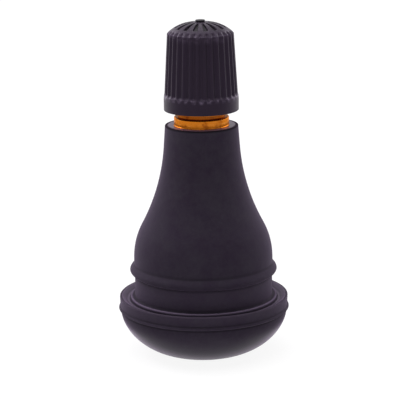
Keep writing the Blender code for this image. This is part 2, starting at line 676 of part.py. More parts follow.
def ring_of_points(shape, radii, heights, seat):
    """One closed ring of vertices, with a radius and a height for each column."""
    columns = FLUTE_COUNT * COLUMNS_PER_FLUTE
    ring = []
    for column in range(columns):
        angle = math.tau * column / columns
        radius, height = radii[column], heights[column] - seat
        ring.append(shape.verts.new((radius * math.cos(angle), radius * math.sin(angle), height)))
    return ring


def cap_rings():
    """Rings of the cap's outside, from the nub down to its lower edge. Each is (radius, height, flute, ray):
    flute is the share of the full flute depth taken off the radius, ray the share of a ray off the height."""
    ring_top = CAP_BOTTOM + RING_HEIGHT
    flute_end = ring_top + FLUTE_RUN_OUT
    fluted = (CAP_SHOULDER - flute_end) / (CAP_SHOULDER - ring_top)
    on_dome = [
        (NUB_RADIUS, 0.0, 0.0),
        (RAY_START, 0.0, 0.0),
        (RAY_START + RAY_RUN_OUT, 0.0, RAY_ONSET),
        (0.5 * (RAY_START + RAY_END), 0.0, 1.0),
        (RAY_END - RAY_RUN_OUT, 0.0, 1.0),
        (RAY_END, 0.0, 0.0),
        (CAP_SHOULDER_RADIUS - CAP_SHOULDER_ROUND, 1.0, 0.0),
    ]
    rings = [
        (NUB_RADIUS - NUB_ROUND, dome_height(0.0) + NUB_RISE, 0.0, 0.0),
        (NUB_RADIUS, dome_height(0.0) + NUB_RISE - NUB_ROUND, 0.0, 0.0),
    ]
    rings += [(radius, dome_height(radius), flute, ray) for radius, flute, ray in on_dome]
    rings += [
        (CAP_SHOULDER_RADIUS, CAP_SHOULDER - CAP_SHOULDER_ROUND, 1.0, 0.0),
        (CAP_SHOULDER_RADIUS + CAP_FLARE * fluted, flute_end, 1.0, 0.0),
        (CAP_FOOT_RADIUS, ring_top + FLUTE_TAIL, FLUTE_TAIL_SHARE, 0.0),
        (CAP_RING_RADIUS - RING_BREAK, ring_top, 0.0, 0.0),
        (CAP_RING_RADIUS, ring_top - RING_SLOPE, 0.0, 0.0),
        (CAP_RING_RADIUS, CAP_BOTTOM + RING_ROUND, 0.0, 0.0),
        (CAP_RING_RADIUS - RING_ROUND, CAP_BOTTOM, 0.0, 0.0),
    ]
    return rings


def build_valve_cap(parent):
    """Fluted cap: lofted rings from the nub over the rayed dome and down the flutes, then bored out."""
    seat = CAP_BOTTOM
    columns = FLUTE_COUNT * COLUMNS_PER_FLUTE
    angles = [math.tau * column / columns for column in range(columns)]
    ray_count = FLUTE_COUNT * RAYS_PER_FLUTE
    first_ray = -0.5 * math.tau / FLUTE_COUNT       # each ray is in line with a groove
    shape = bmesh.new()
    loops = []
    for radius, height, flute, ray in cap_rings():
        radii = [radius - FLUTE_DEPTH * flute * wave(angle, FLUTE_COUNT) for angle in angles]
        rays = [max(0.0, 1.0 - 2.0 * wave(angle - first_ray, ray_count)) for angle in angles]
        heights = [height - RAY_DEPTH * ray * share for share in rays]
        loops.append(ring_of_points(shape, radii, heights, seat))
    for upper, lower in zip(loops, loops[1:]):
        for column in range(columns):
            following = (column + 1) % columns
            shape.faces.new((upper[column], lower[column], lower[following], upper[following]))
    shape.faces.new(loops[0])
    shape.faces.new(loops[-1])
    bmesh.ops.recalc_face_normals(shape, faces=shape.faces)
    mesh = bpy.data.meshes.new("valve_cap")
    shape.to_mesh(mesh)
    shape.free()
    smooth(mesh)
    cap = place("valve_cap", mesh, seat, cap_material("moulded_plastic"), parent)
    overrun = CAP_MOUTH_CHAMFER
    outline = [
        (0.0, CAP_CEILING),
        (CAP_POCKET_RADIUS, CAP_CEILING),
        (CAP_POCKET_RADIUS, SEAL_BOTTOM),
        (CAP_BORE_RADIUS, SEAL_BOTTOM - (CAP_BORE_RADIUS - CAP_POCKET_RADIUS)),
        (CAP_BORE_RADIUS, CAP_BOTTOM + CAP_MOUTH_CHAMFER),
        (CAP_BORE_RADIUS + CAP_MOUTH_CHAMFER + overrun, CAP_BOTTOM - overrun),
        (0.0, CAP_BOTTOM - overrun),
    ]
    cutter("cap_bore", turned_mesh("cap_bore", outline, seat, CAP_SEGMENTS), seat, parent, cap)
    return cap


def main():
    """Builds the valve from the outside in."""
    clear_scene()
    valve = bpy.data.objects.new("tyre_valve", None)
    bpy.context.scene.collection.objects.link(valve)
    build_rubber_body(valve)
    build_stem(valve)
    build_valve_cap(valve)
    build_cap_seal(valve)
    build_core_plug(valve)
    build_core_barrel(valve)
    build_core_gasket(valve)
    build_core_pin(valve)
    build_core_spring(valve)
    build_seal_cup(valve)
    build_seal_washer(valve)


main()
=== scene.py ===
"""Looks of a snap-in tyre valve with its cap on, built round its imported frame.

Each sub-assembly is a class. It holds its sizes, works out its surfaces as whole arrays, and dresses them
in the finishes of the real materials. Lengths are in metres and the valve stands on the origin along +Z,
as in the frame.
"""
import logging
import math
from dataclasses import dataclass
from enum import Enum
from typing import Any, Mapping, Optional, Sequence

import bpy
import numpy as np
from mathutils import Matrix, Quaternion, Vector


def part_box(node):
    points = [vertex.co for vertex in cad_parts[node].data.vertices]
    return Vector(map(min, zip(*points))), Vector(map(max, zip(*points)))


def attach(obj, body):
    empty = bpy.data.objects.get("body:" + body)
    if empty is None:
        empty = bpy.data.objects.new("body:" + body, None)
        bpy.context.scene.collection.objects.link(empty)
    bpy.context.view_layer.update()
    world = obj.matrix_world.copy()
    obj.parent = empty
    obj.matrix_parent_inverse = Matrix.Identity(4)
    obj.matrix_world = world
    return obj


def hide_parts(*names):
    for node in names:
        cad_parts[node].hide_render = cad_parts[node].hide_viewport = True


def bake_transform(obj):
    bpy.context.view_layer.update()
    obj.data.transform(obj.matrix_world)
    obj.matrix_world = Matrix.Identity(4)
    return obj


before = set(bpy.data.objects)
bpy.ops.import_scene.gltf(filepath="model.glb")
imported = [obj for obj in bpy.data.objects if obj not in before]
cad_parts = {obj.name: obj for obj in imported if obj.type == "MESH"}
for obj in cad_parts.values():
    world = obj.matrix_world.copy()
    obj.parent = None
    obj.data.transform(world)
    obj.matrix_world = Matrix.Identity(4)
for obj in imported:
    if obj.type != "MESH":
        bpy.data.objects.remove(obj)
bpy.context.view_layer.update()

LOG = logging.getLogger("tyre_valve")
Array = np.ndarray

MM = 0.001
MICRON = 0.000001

ROUND_STEP = math.radians(15.0)     # turn between two points of a round
ROUND_SHARE = 0.48                  # the most that a round takes of a side
HALVINGS = 40                       # when a slope is found by halving
SHARP_ANGLE = math.radians(42.0)    # edges that bend more than this stay crisp
NOISE_LOW, NOISE_HIGH = 0.3, 0.7    # nearly all values of a noise pattern lie between these


class Body(Enum):
    """The moving bodies of the frame."""

    VALVE = "valve_body"
    SEAL = "seal_carrier"
    CAP = "cap"
    CORE = "core"
    PLUG = "plug"
    PIN = "pin"


class Slot(Enum):
    """The material slots of the record."""

    BODY_RUBBER = "body_rubber"
    STEM_BRASS = "stem_brass"
    CAP_PLASTIC = "cap_plastic"
    SEAL_RUBBER = "seal_rubber"
    CORE_BRASS = "core_brass"
    GASKET_PLASTIC = "gasket_plastic"
    SPRING_STEEL = "spring_steel"


class Ends(Enum):
    """How the rows of a surface end: joined into a ring, or each closed at a pole."""

    RING = "ring"
    POLES = "poles"


def linear(code: str) -> tuple[float, float, float, float]:
    """Turns a colour written in sRGB hex into linear light.

    Args:
        code: the colour, such as "#2B2630".

    Returns:
        Red, green, blue and an alpha of 1.
    """
    shares = np.array([int(code[place:place + 2], 16) for place in (1, 3, 5)]) / 255.0
    light = np.where(shares <= 0.04045, shares / 12.92, ((shares + 0.055) / 1.055) ** 2.4)
    return (*light.tolist(), 1.0)


def per_metre(size_mm: float) -> float:
    """The noise scale at which a pattern's features are about size_mm across."""
    return 1.0 / (size_mm * MM)


def swing(middle: float, width: float) -> dict[str, float]:
    """Range settings that spread a noise pattern evenly over a width about a middle value."""
    return {"From Min": NOISE_LOW, "From Max": NOISE_HIGH,
            "To Min": middle - 0.5 * width, "To Max": middle + 0.5 * width}


def smoothstep(low: float, high: float, value: Array) -> Array:
    """0 below low and 1 above high, with a rise of 3 s squared less 2 s cubed between them."""
    share = np.clip((value - low) / (high - low), 0.0, 1.0)
    return share * share * (3.0 - 2.0 * share)


def bottom_of(node: str) -> float:
    """Height of the lowest point of a CAD node."""
    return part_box(node)[0].z


def top_of(node: str) -> float:
    """Height of the highest point of a CAD node."""
    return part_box(node)[1].z


@dataclass(frozen=True)
class Corner:
    """A corner of a turned outline: its radius from the axis, its height and the size of its round."""

    radius: float
    height: float
    round: float = 0.0


def arc(centre: tuple[float, float], size: float, start: float, end: float, steps: int) -> Array:
    """Points of an arc in the turning plane.

    Formula: centre plus size times (cos a, sin a), with a going evenly from start to end.

    Args:
        centre: radius and height of the arc's centre.
        size: the arc's own radius.
        start: first angle, in radians from the outward direction.
        end: last angle.
        steps: number of steps.

    Returns:
        An array of (radius, height) rows.
    """
    angle = np.linspace(start, end, steps + 1)
    return np.column_stack([centre[0] + size * np.cos(angle), centre[1] + size * np.sin(angle)])


def rounded(corners: Sequence[Corner], ends: Ends = Ends.RING) -> Array:
    """An outline through corners, with a round on each one that asks for it.

    Formula: where two sides meet at an angle 2h, a round of size s leaves each side at s / tan h from the
    corner, and its centre lies on the bisector at s / sin h. A round never takes more than 0.48 of a side.

    Args:
        corners: the corners, in order down the outside and up the inside.
        ends: whether the last corner joins the first.

    Returns:
        An array of (radius, height) rows.
    """
    points = np.array([(corner.radius, corner.height) for corner in corners])
    runs = []
    for index, corner in enumerate(corners):
        here = points[index]
        outermost = ends is Ends.POLES and index in (0, len(corners) - 1)
        if corner.round <= 0.0 or outermost:
            runs.append(here[None])
            continue
        back = points[index - 1] - here
        ahead = points[(index + 1) % len(corners)] - here
        room = ROUND_SHARE * min(np.linalg.norm(back), np.linalg.norm(ahead))
        back, ahead = back / np.linalg.norm(back), ahead / np.linalg.norm(ahead)
        half = 0.5 * math.acos(float(np.clip(back @ ahead, -1.0, 1.0)))
        reach = min(corner.round / math.tan(half), room)
        size = reach * math.tan(half)
        middle = back + ahead
        centre = here + middle / np.linalg.norm(middle) * size / math.sin(half)
        leave, meet = here + back * reach - centre, here + ahead * reach - centre
        start = math.atan2(leave[1], leave[0])
        turn = (math.atan2(meet[1], meet[0]) - start + math.pi) % math.tau - math.pi
        steps = max(2, math.ceil(abs(turn) / ROUND_STEP))
        runs.append(arc((centre[0], centre[1]), size, start, start + turn, steps))
    return np.vstack(runs)


def spaced(outline: Array, gap: float, ends: Ends = Ends.RING) -> Array:
    """An outline whose straight runs are divided evenly, so that shading stays true beside each round.

    Args:
        outline: rows of (radius, height).
        gap: the longest step allowed.
        ends: whether the last point joins the first.

    Returns:
        The outline with points added.
    """
    starts = outline if ends is Ends.RING else outline[:-1]
    finish = np.roll(outline, -1, axis=0) if ends is Ends.RING else outline[1:]
    counts = np.maximum(1, np.ceil(np.linalg.norm(finish - starts, axis=1) / gap)).astype(int)
    owner = np.repeat(np.arange(len(counts)), counts)
    step = np.arange(counts.sum()) - np.repeat(np.cumsum(counts) - counts, counts)
    share = (step / counts[owner])[:, None]
    points = starts[owner] + share * (finish - starts)[owner]
    return points if ends is Ends.RING else np.vstack([points, outline[-1:]])


def edges_and_corners(outline: Array, reach: float, ends: Ends = Ends.RING) -> dict[str, Array]:
    """Where a turned outline has edges, which get painted light, and corners, which get painted shade.

    Formula: how far the outline turns from one reach before each point to one reach after it, as a share
    of a right angle. A turn round an edge counts towards painted light, and a turn into a corner towards
    painted shade, which on the brass goes with tarnish.

    Args:
        outline: rows of (radius, height), down the outside and up the inside.
        reach: how far along the outline an edge or a corner is felt.
        ends: whether the last point joins the first.

    Returns:
        Shares of painted light on edges and painted shade in corners, from 0 to 1, one for each row.
    """
    lap = len(outline) if ends is Ends.RING else 0
    run = np.vstack([outline] * 3) if lap else outline
    step = np.diff(run, axis=0)
    along = np.concatenate([[0.0], np.cumsum(np.linalg.norm(step, axis=1))])
    middle = 0.5 * (along[1:] + along[:-1])
    heading = np.unwrap(np.arctan2(step[:, 1], step[:, 0]))
    turn = np.interp(along - reach, middle, heading) - np.interp(along + reach, middle, heading)
    share = (turn / (0.5 * math.pi))[lap:lap + len(outline)]
    return {"painted_light": share.clip(0.0, 1.0), "shade_and_tarnish": (-share).clip(0.0, 1.0)}


def angles(columns: int) -> Array:
    """Angles of the columns of a surface, evenly round the axis."""
    return np.arange(columns) * math.tau / columns


def round_grid(radius: Array, height: Array, angle: Array) -> Array:
    """Points of a surface about the axis.

    Formula: x is radius times cos a, y is radius times sin a and z is the height, for each row and column.

    Args:
        radius: radii, one for each row, or for each row and column.
        height: heights, in the same form.
        angle: the angle of each column.

    Returns:
        An array of rows by columns by 3.
    """
    shape = (len(radius), len(angle))
    wide = np.broadcast_to(radius.reshape(len(radius), -1), shape)
    tall = np.broadcast_to(height.reshape(len(height), -1), shape)
    return np.stack([wide * np.cos(angle), wide * np.sin(angle), tall], axis=-1)


def grid_mesh(name: str, grid: Array, ends: Ends, shares: Optional[Mapping[str, Array]] = None
              ) -> bpy.types.Mesh:
    """Makes a closed mesh from a grid of points whose columns wrap round.

    Formula: point (row, column) makes a face with its neighbours at row + 1 and column + 1, and the last
    column joins the first. A ring's last row joins its first. With poles, the first and last rows are one
    point each, which closes the surface with a fan. Faces point outwards when the rows run down the
    outside.

    Args:
        name: the mesh's name.
        grid: rows by columns by 3.
        ends: how the rows end.
        shares: attributes for the finish, by name, with a value for each row or for each row and column.

    Returns:
        The mesh, shaded smooth with its sharpest edges kept crisp.
    """
    columns = grid.shape[1]
    poles = ends is Ends.POLES
    body = grid[1:-1] if poles else grid
    ring = np.arange(len(body) * columns).reshape(-1, columns) + int(poles)
    upper = ring[:-1] if poles else ring
    lower = ring[1:] if poles else np.roll(ring, -1, axis=0)
    quads = np.stack([upper, lower, np.roll(lower, -1, axis=1), np.roll(upper, -1, axis=1)], axis=-1)
    corners, sizes = [quads.reshape(-1)], [np.full(quads[..., 0].size, 4)]
    points = body.reshape(-1, 3)
    if poles:
        points = np.vstack([grid[0, :1], points, grid[-1, :1]])
        last = np.full(columns, len(points) - 1)
        fans = [np.stack([np.zeros(columns, int), ring[0], np.roll(ring[0], -1)], axis=-1),
                np.stack([ring[-1], last, np.roll(ring[-1], -1)], axis=-1)]
        corners += [fan.reshape(-1) for fan in fans]
        sizes.append(np.full(2 * columns, 3))
    loops, totals = np.concatenate(corners), np.concatenate(sizes)
    mesh = bpy.data.meshes.new(name)
    mesh.vertices.add(len(points))
    mesh.vertices.foreach_set("co", points.astype(np.float32).ravel())
    mesh.loops.add(len(loops))
    mesh.loops.foreach_set("vertex_index", loops.astype(np.int32))
    mesh.polygons.add(len(totals))
    mesh.polygons.foreach_set("loop_start", (np.cumsum(totals) - totals).astype(np.int32))
    for label, values in (shares or {}).items():
        spread = np.broadcast_to(values.reshape(len(grid), -1), grid.shape[:2])
        ends_once = [spread[0, :1], spread[1:-1].ravel(), spread[-1, :1]]
        flat = np.concatenate(ends_once) if poles else spread.ravel()
        mesh.attributes.new(label, "FLOAT", "POINT").data.foreach_set("value", flat.astype(np.float32))
    mesh.update(calc_edges=True)
    mesh.validate()
    mesh.shade_smooth()
    mesh.set_sharp_from_angle(angle=SHARP_ANGLE)
    return mesh


@dataclass(frozen=True)
class Piece:
    """Where a new piece belongs: its name, the CAD node it stands for, its body and its material slot."""

    name: str
    node: str
    body: Body
    slot: Slot

    def dress(self, mesh: bpy.types.Mesh, material: bpy.types.Material) -> bpy.types.Object:
        """Puts a finished mesh into the scene as this piece.

        Args:
            mesh: the mesh, in the frame's own coordinates.
            material: its finish.

        Returns:
            The piece's object.
        """
        mesh.materials.append(material)
        made = bpy.data.objects.new(self.name, mesh)
        bpy.context.scene.collection.objects.link(made)
        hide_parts(self.node)
        LOG.info("%s: %d faces, %s, on %s", self.name, len(mesh.polygons), material.name, self.body.value)
        return made

    def turned(self, outline: Array, columns: int, ends: Ends, material: bpy.types.Material,
               shares: Optional[Mapping[str, Array]] = None) -> bpy.types.Object:
        """Turns an outline into this piece and lets it ride on its body.

        Args:
            outline: rows of (radius, height), down the outside and up the inside.
            columns: number of columns round the axis.
            ends: how the outline ends.
            material: its finish.
            shares: attributes for the finish, with a value for each row.

        Returns:
            The piece's object.
        """
        grid = round_grid(outline[:, 0], outline[:, 1], angles(columns))
        return self.placed(grid_mesh(self.name, grid, ends, shares), material)

    def placed(self, mesh: bpy.types.Mesh, material: bpy.types.Material) -> bpy.types.Object:
        """Dresses a mesh as this piece and lets it ride on its body."""
        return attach(self.dress(mesh, material), self.body.value)


@dataclass(frozen=True)
class Thread:
    """A right-hand screw thread about the valve's axis."""

    crest: float
    depth: float
    pitch: float
    flat: float = 0.125         # share of the pitch that is flat at the crests, and at the roots

    def groove(self, height: Array, angle: Array) -> Array:
        """How deep the groove is at each point, from 0 on a crest to 1 at a root.

        Formula: a point lies on turn height / pitch - angle / full turn. The fraction f of that turn gives
        |2 f - 1|, which is 1 on a crest and 0 at a root, and a smooth step between the flats makes the
        flanks.

        Args:
            height: heights, as a column.
            angle: angles, as a row.

        Returns:
            An array of rows by columns.
        """
        turn = height / self.pitch - angle / math.tau
        away = np.abs(2.0 * (turn - np.floor(turn)) - 1.0)
        return 1.0 - smoothstep(self.flat, 1.0 - self.flat, away)

    def outside(self, radius: Array, height: Array, angle: Array) -> Array:
        """Radii of a turned bar of the given radii after this thread is cut into it."""
        cut = self.crest - self.depth * self.groove(height[:, None], angle[None])
        return np.minimum(radius[:, None], cut)

    def inside(self, radius: Array, height: Array, angle: Array, low: float, high: float) -> Array:
        """Radii of a bore of the given radii with this thread standing in it between two heights.

        Formula: the bore's radius less the thread's depth times the groove, faded in and out over half a
        pitch.

        Args:
            radius: radii of the plain bore, one for each row.
            height: heights of the rows.
            angle: angles of the columns.
            low: where the thread starts.
            high: where it ends.

        Returns:
            Radii, rows by columns.
        """
        fade = 0.5 * self.pitch
        share = smoothstep(low, low + fade, height) * (1.0 - smoothstep(high - fade, high, height))
        return radius[:, None] - self.depth * share[:, None] * self.groove(height[:, None], angle[None])

    def rows(self, low: float, high: float, per_pitch: int = 14) -> Array:
        """Heights from low up to high that are close enough to draw this thread."""
        return np.linspace(low, high, max(2, round((high - low) / self.pitch * per_pitch)))


class Nodes:
    """A node tree and the one way to add to it."""

    def __init__(self, tree: bpy.types.NodeTree) -> None:
        """Empties the tree."""
        self.tree = tree
        tree.nodes.clear()

    def add(self, kind: str, inputs: Optional[Mapping[Any, Any]] = None, **settings: Any) -> bpy.types.Node:
        """Adds a node with its settings and links.

        Args:
            kind: the node's type, without the word that starts the type of every shader node.
            inputs: for each input, by name or number, a value or the output that feeds it.
            settings: attributes to set.

        Returns:
            The node.
        """
        node = self.tree.nodes.new("ShaderNode" + kind)
        for name, value in settings.items():
            setattr(node, name, value)
        for name, value in (inputs or {}).items():
            if isinstance(value, bpy.types.NodeSocket):
                self.tree.links.new(value, node.inputs[name])
            else:
                node.inputs[name].default_value = value
        return node


@dataclass(frozen=True)
class Finish:
    """The finish of one real material, which works out its shader's inputs from its sizes and colours."""

    name: str

    def inputs(self, nodes: Nodes, place: bpy.types.NodeSocket) -> dict[str, Any]:
        """Adds the finish's own nodes.

        Args:
            nodes: the material's tree.
            place: the output that holds each point's place on the object.

        Returns:
            For each input of the shader, a value or the output that feeds it.
        """
        raise NotImplementedError

    def material(self) -> bpy.types.Material:
        """Builds the finish.

        Returns:
            The material.
        """
        made = bpy.data.materials.new(self.name)
        made.use_nodes = True
        nodes = Nodes(made.node_tree)
        place = nodes.add("TexCoord").outputs["Object"]
        shader = nodes.add("BsdfPrincipled", self.inputs(nodes, place))
        nodes.add("OutputMaterial", {"Surface": shader.outputs[0]})
        return made


@dataclass(frozen=True)
class MouldedRubber(Finish):
    """Compression-moulded EPDM rubber. The tool's spark-eroded skin leaves an even, nearly black matt
    surface with a fine grain, and the faint grey-violet bloom of its wax in soft clouds. Painted
    highlights lighten some of its edges and faces, and painted shade darkens its corners. Where the tool
    is polished, so that the rubber seals, the skin shines and is given a painted lilac sheen at a slant."""

    name: str = "moulded_epdm_rubber"
    black: str = "#221A27"
    bloom: str = "#2E2A32"
    # painted highlights and painted light: the low step's edge, the flange's edge, the seat and the neck
    painted_light_colour: str = "#74677C"
    dark: str = "#0C0A0E"           # painted shade in corners, on the lip's top and in a ring round the rim
    painted_sheen: str = "#66526F"          # painted sheen that the polished skin is given where it is seen at a slant
    painted_sheen_from: float = 0.55
    gloss_tint: str = "#DCCBE8"
    clouds_mm: float = 3.2
    clouds_detail: float = 0.8      # near 1, so that small clouds show as much as large ones
    grain_mm: float = 0.16          # real grain is about 0.03 mm, drawn coarser so that it shows
    grain_height: float = 8.0 * MICRON
    roughness: float = 0.80
    polished: float = 0.34
    roughness_swing: float = 0.08
    ior: float = 1.52
    specular: float = 0.16          # carbon black takes most of the light that would come back
    sheen: float = 0.10             # wax on the skin, which glows where it is seen at a slant
    sheen_roughness: float = 0.35
    sheen_tint: str = "#E8C8FA"

    def inputs(self, nodes: Nodes, place: bpy.types.NodeSocket) -> dict[str, Any]:
        """Clouds of bloom in the colour and roughness, painted highlights on edges and faces, painted shade
        and dullness in corners, a shine and a painted slant sheen on the polished skin, and a fine grain in
        the bump.

        Args:
            nodes: the material's tree.
            place: the output that holds each point's place on the object.

        Returns:
            What the shader takes.
        """
        painted_light, shade_and_tarnish, polish_and_painted_sheen = (nodes.add("Attribute", attribute_name=share).outputs["Fac"]
                                 for share in ("painted_light", "shade_and_tarnish", "polish_and_painted_sheen"))
        clouds = nodes.add("TexNoise", {
            "Vector": place, "Scale": per_metre(self.clouds_mm), "Detail": 5.0,
            "Roughness": self.clouds_detail})
        grain = nodes.add("TexNoise", {"Vector": place, "Scale": per_metre(self.grain_mm), "Detail": 2.0})
        spread = nodes.add("MapRange", {"Value": clouds.outputs[0], **swing(0.5, 1.0)})
        # painted sheen: the polished skin turns lilac where it is seen at a slant
        facing = nodes.add("LayerWeight", {"Blend": 0.5}).outputs["Facing"]
        slanted = nodes.add("MapRange", {
            "Value": facing, "From Min": self.painted_sheen_from, "From Max": 1.0}, interpolation_type="SMOOTHSTEP")
        painted_sheen_share = nodes.add("Math", {0: slanted.outputs[0], 1: polish_and_painted_sheen}, operation="MULTIPLY")
        colour = linear(self.black)
        for share, tint in ((spread.outputs[0], self.bloom), (painted_light, self.painted_light_colour),
                            (painted_sheen_share.outputs[0], self.painted_sheen), (shade_and_tarnish, self.dark)):
            layer = nodes.add("Mix", {0: share, 6: colour, 7: linear(tint)}, data_type="RGBA")
            colour = layer.outputs[2]
        even = nodes.add("MapRange", {"Value": polish_and_painted_sheen, "To Min": self.roughness, "To Max": self.polished})
        cloudy = nodes.add("MapRange", {"Value": clouds.outputs[0], **swing(0.0, self.roughness_swing)})
        uneven = nodes.add("Math", {0: even.outputs[0], 1: cloudy.outputs[0]})
        rough = nodes.add("Math", {0: uneven.outputs[0], 1: shade_and_tarnish}, operation="MAXIMUM")
        bump = nodes.add("Bump", {"Height": grain.outputs[0], "Distance": self.grain_height})
        return {"Base Color": colour, "Roughness": rough.outputs[0], "IOR": self.ior,
                "Specular IOR Level": self.specular, "Specular Tint": linear(self.gloss_tint),
                "Sheen Weight": self.sheen, "Sheen Roughness": self.sheen_roughness,
                "Sheen Tint": linear(self.sheen_tint), "Normal": bump.outputs[0]}


@dataclass(frozen=True)
class MouldedPlastic(Finish):
    """Injection-moulded polyamide, black. It is satin, with faint flow marks along the draw of the mould.
    Its edges and dome get painted highlights in broken pale lines, and painted shade keeps the rays'
    hollows a deep black."""

    name: str = "moulded_polyamide"
    black: str = "#211A24"
    flow: str = "#2A222E"
    # pale lilac of the painted highlights and the dome's painted light
    paled: str = "#7C6F85"
    # painted shade in the rays' hollows, also used to darken the nub
    dark: str = "#060507"
    gloss_tint: str = "#D9C6E6"
    flow_mm: float = 0.7
    flow_stretch: float = 0.12      # flow marks are about eight times as long as they are wide
    highlight_break_mm: float = 0.6
    highlight_break_from: float = 0.42          # the painted highlight lines break where their noise is below this
    highlight_whole_from: float = 0.66          # and are whole where it is above this
    highlight_least: float = 0.15
    grain_mm: float = 0.12          # finer in truth, drawn coarser so that it shows
    grain_height: float = 5.0 * MICRON
    roughness: float = 0.38
    roughness_swing: float = 0.10
    ior: float = 1.53
    specular: float = 0.14

    def inputs(self, nodes: Nodes, place: bpy.types.NodeSocket) -> dict[str, Any]:
        """Long flow marks in the colour and roughness, painted highlights in broken pale lines, painted
        shade as deep black in the hollows, and a fine grain in the bump.

        Args:
            nodes: the material's tree.
            place: the output that holds each point's place on the object.

        Returns:
            What the shader takes.
        """
        painted_light, shade_and_tarnish = (nodes.add("Attribute", attribute_name=share).outputs["Fac"]
                         for share in ("painted_light", "shade_and_tarnish"))
        drawn = nodes.add("Mapping", {"Vector": place, "Scale": (1.0, 1.0, self.flow_stretch)})
        flow = nodes.add("TexNoise", {
            "Vector": drawn.outputs[0], "Scale": per_metre(self.flow_mm), "Detail": 3.0, "Roughness": 0.6})
        highlight_noise = nodes.add("TexNoise", {
            "Vector": place, "Scale": per_metre(self.highlight_break_mm), "Detail": 3.0, "Roughness": 0.7})
        grain = nodes.add("TexNoise", {"Vector": place, "Scale": per_metre(self.grain_mm), "Detail": 2.0})
        broken = nodes.add("MapRange", {
            "Value": highlight_noise.outputs[0], "From Min": self.highlight_break_from, "From Max": self.highlight_whole_from,
            "To Min": self.highlight_least, "To Max": 1.0}, interpolation_type="SMOOTHSTEP")
        # painted highlight lines, broken by noise
        paled = nodes.add("Math", {0: broken.outputs[0], 1: painted_light}, operation="MULTIPLY")
        colour = linear(self.black)
        for share, tint in ((flow.outputs[0], self.flow), (paled.outputs[0], self.paled),
                            (shade_and_tarnish, self.dark)):
            layer = nodes.add("Mix", {0: share, 6: colour, 7: linear(tint)}, data_type="RGBA")
            colour = layer.outputs[2]
        rough = nodes.add("MapRange", {
            "Value": flow.outputs[0], **swing(self.roughness, self.roughness_swing)})
        bump = nodes.add("Bump", {"Height": grain.outputs[0], "Distance": self.grain_height})
        return {"Base Color": colour, "Roughness": rough.outputs[0], "IOR": self.ior,
                "Specular IOR Level": self.specular, "Specular Tint": linear(self.gloss_tint),
                "Normal": bump.outputs[0]}


@dataclass(frozen=True)
class TurnedBrass(Finish):
    """Free-cutting brass, turned and left bare. The tool leaves fine rings round the axis, which stretch
    each highlight up and down, and handling leaves warm red-brown and pale patches in the yellow."""

    name: str = "turned_brass"
    yellow: str = "#BC6C1C"
    brown: str = "#7A3006"
    pale: str = "#CF9450"
    tarnish_and_shade: str = "#5A1C03"        # red-brown: tarnish with painted shade in grooves and corners, and the cap's painted shadow on the land
    edge: str = "#FADCC0"           # brass keeps its colour where it is seen at a slant
    patches_mm: float = 1.1
    brown_from: float = 0.50        # patches turn brown where their noise is above this
    brown_full: float = 0.72
    brown_share: float = 0.75
    rings_mm: float = 0.11          # the real feed is about 0.05 mm, drawn coarser so that it shows
    rings_stretch: float = 0.06     # rings run round the axis, so they are thin in height only
    ring_height: float = 3.0 * MICRON
    pale_from: float = 0.52         # and rings pale where theirs is above this
    pale_full: float = 0.72
    pale_share: float = 0.5
    roughness: float = 0.30
    roughness_swing: float = 0.16

    def inputs(self, nodes: Nodes, place: bpy.types.NodeSocket) -> dict[str, Any]:
        """Patches and rings in the colour, tarnish with painted shade in the grooves and the cap's painted
        shadow on the land, patches in the roughness, and the tool's rings in the bump.

        Args:
            nodes: the material's tree.
            place: the output that holds each point's place on the object.

        Returns:
            What the shader takes.
        """
        # tarnish with painted shade in grooves and corners, and the cap's painted shadow on the land
        shade_and_tarnish = nodes.add("Attribute", attribute_name="shade_and_tarnish").outputs["Fac"]
        flat = nodes.add("Mapping", {
            "Vector": place, "Scale": (self.rings_stretch, self.rings_stretch, 1.0)})
        rings = nodes.add("TexNoise", {
            "Vector": flat.outputs[0], "Scale": per_metre(self.rings_mm), "Detail": 2.0, "Roughness": 0.6})
        patches = nodes.add("TexNoise", {
            "Vector": place, "Scale": per_metre(self.patches_mm), "Detail": 5.0, "Roughness": 0.68})
        stained = nodes.add("MapRange", {
            "Value": patches.outputs[0], "From Min": self.brown_from, "From Max": self.brown_full,
            "To Max": self.brown_share}, interpolation_type="SMOOTHSTEP")
        paled = nodes.add("MapRange", {
            "Value": rings.outputs[0], "From Min": self.pale_from, "From Max": self.pale_full,
            "To Max": self.pale_share}, interpolation_type="SMOOTHSTEP")
        colour = linear(self.yellow)
        for share, tint in ((stained.outputs[0], self.brown), (paled.outputs[0], self.pale),
                            (shade_and_tarnish, self.tarnish_and_shade)):
            layer = nodes.add("Mix", {0: share, 6: colour, 7: linear(tint)}, data_type="RGBA")
            colour = layer.outputs[2]
        rough = nodes.add("MapRange", {
            "Value": patches.outputs[0], **swing(self.roughness, self.roughness_swing)})
        bump = nodes.add("Bump", {"Height": rings.outputs[0], "Distance": self.ring_height})
        return {"Base Color": colour, "Roughness": rough.outputs[0], "Metallic": 1.0,
                "Specular Tint": linear(self.edge), "Normal": bump.outputs[0]}


@dataclass(frozen=True)
class GasketPlastic(Finish):
    """Moulded fluoropolymer, dyed red. It is waxy, with a soft and dull surface."""

    name: str = "moulded_fluoropolymer"
    red: str = "#9C2A20"
    dark: str = "#7A1C16"
    clouds_mm: float = 0.8
    roughness: float = 0.5
    ior: float = 1.36

    def inputs(self, nodes: Nodes, place: bpy.types.NodeSocket) -> dict[str, Any]:
        """Soft clouds between two reds.

        Args:
            nodes: the material's tree.
            place: the output that holds each point's place on the object.

        Returns:
            What the shader takes.
        """
        clouds = nodes.add("TexNoise", {
            "Vector": place, "Scale": per_metre(self.clouds_mm), "Detail": 3.0})
        colour = nodes.add("Mix", {
            0: clouds.outputs[0], 6: linear(self.dark), 7: linear(self.red)}, data_type="RGBA")
        return {"Base Color": colour.outputs[2], "Roughness": self.roughness, "IOR": self.ior}


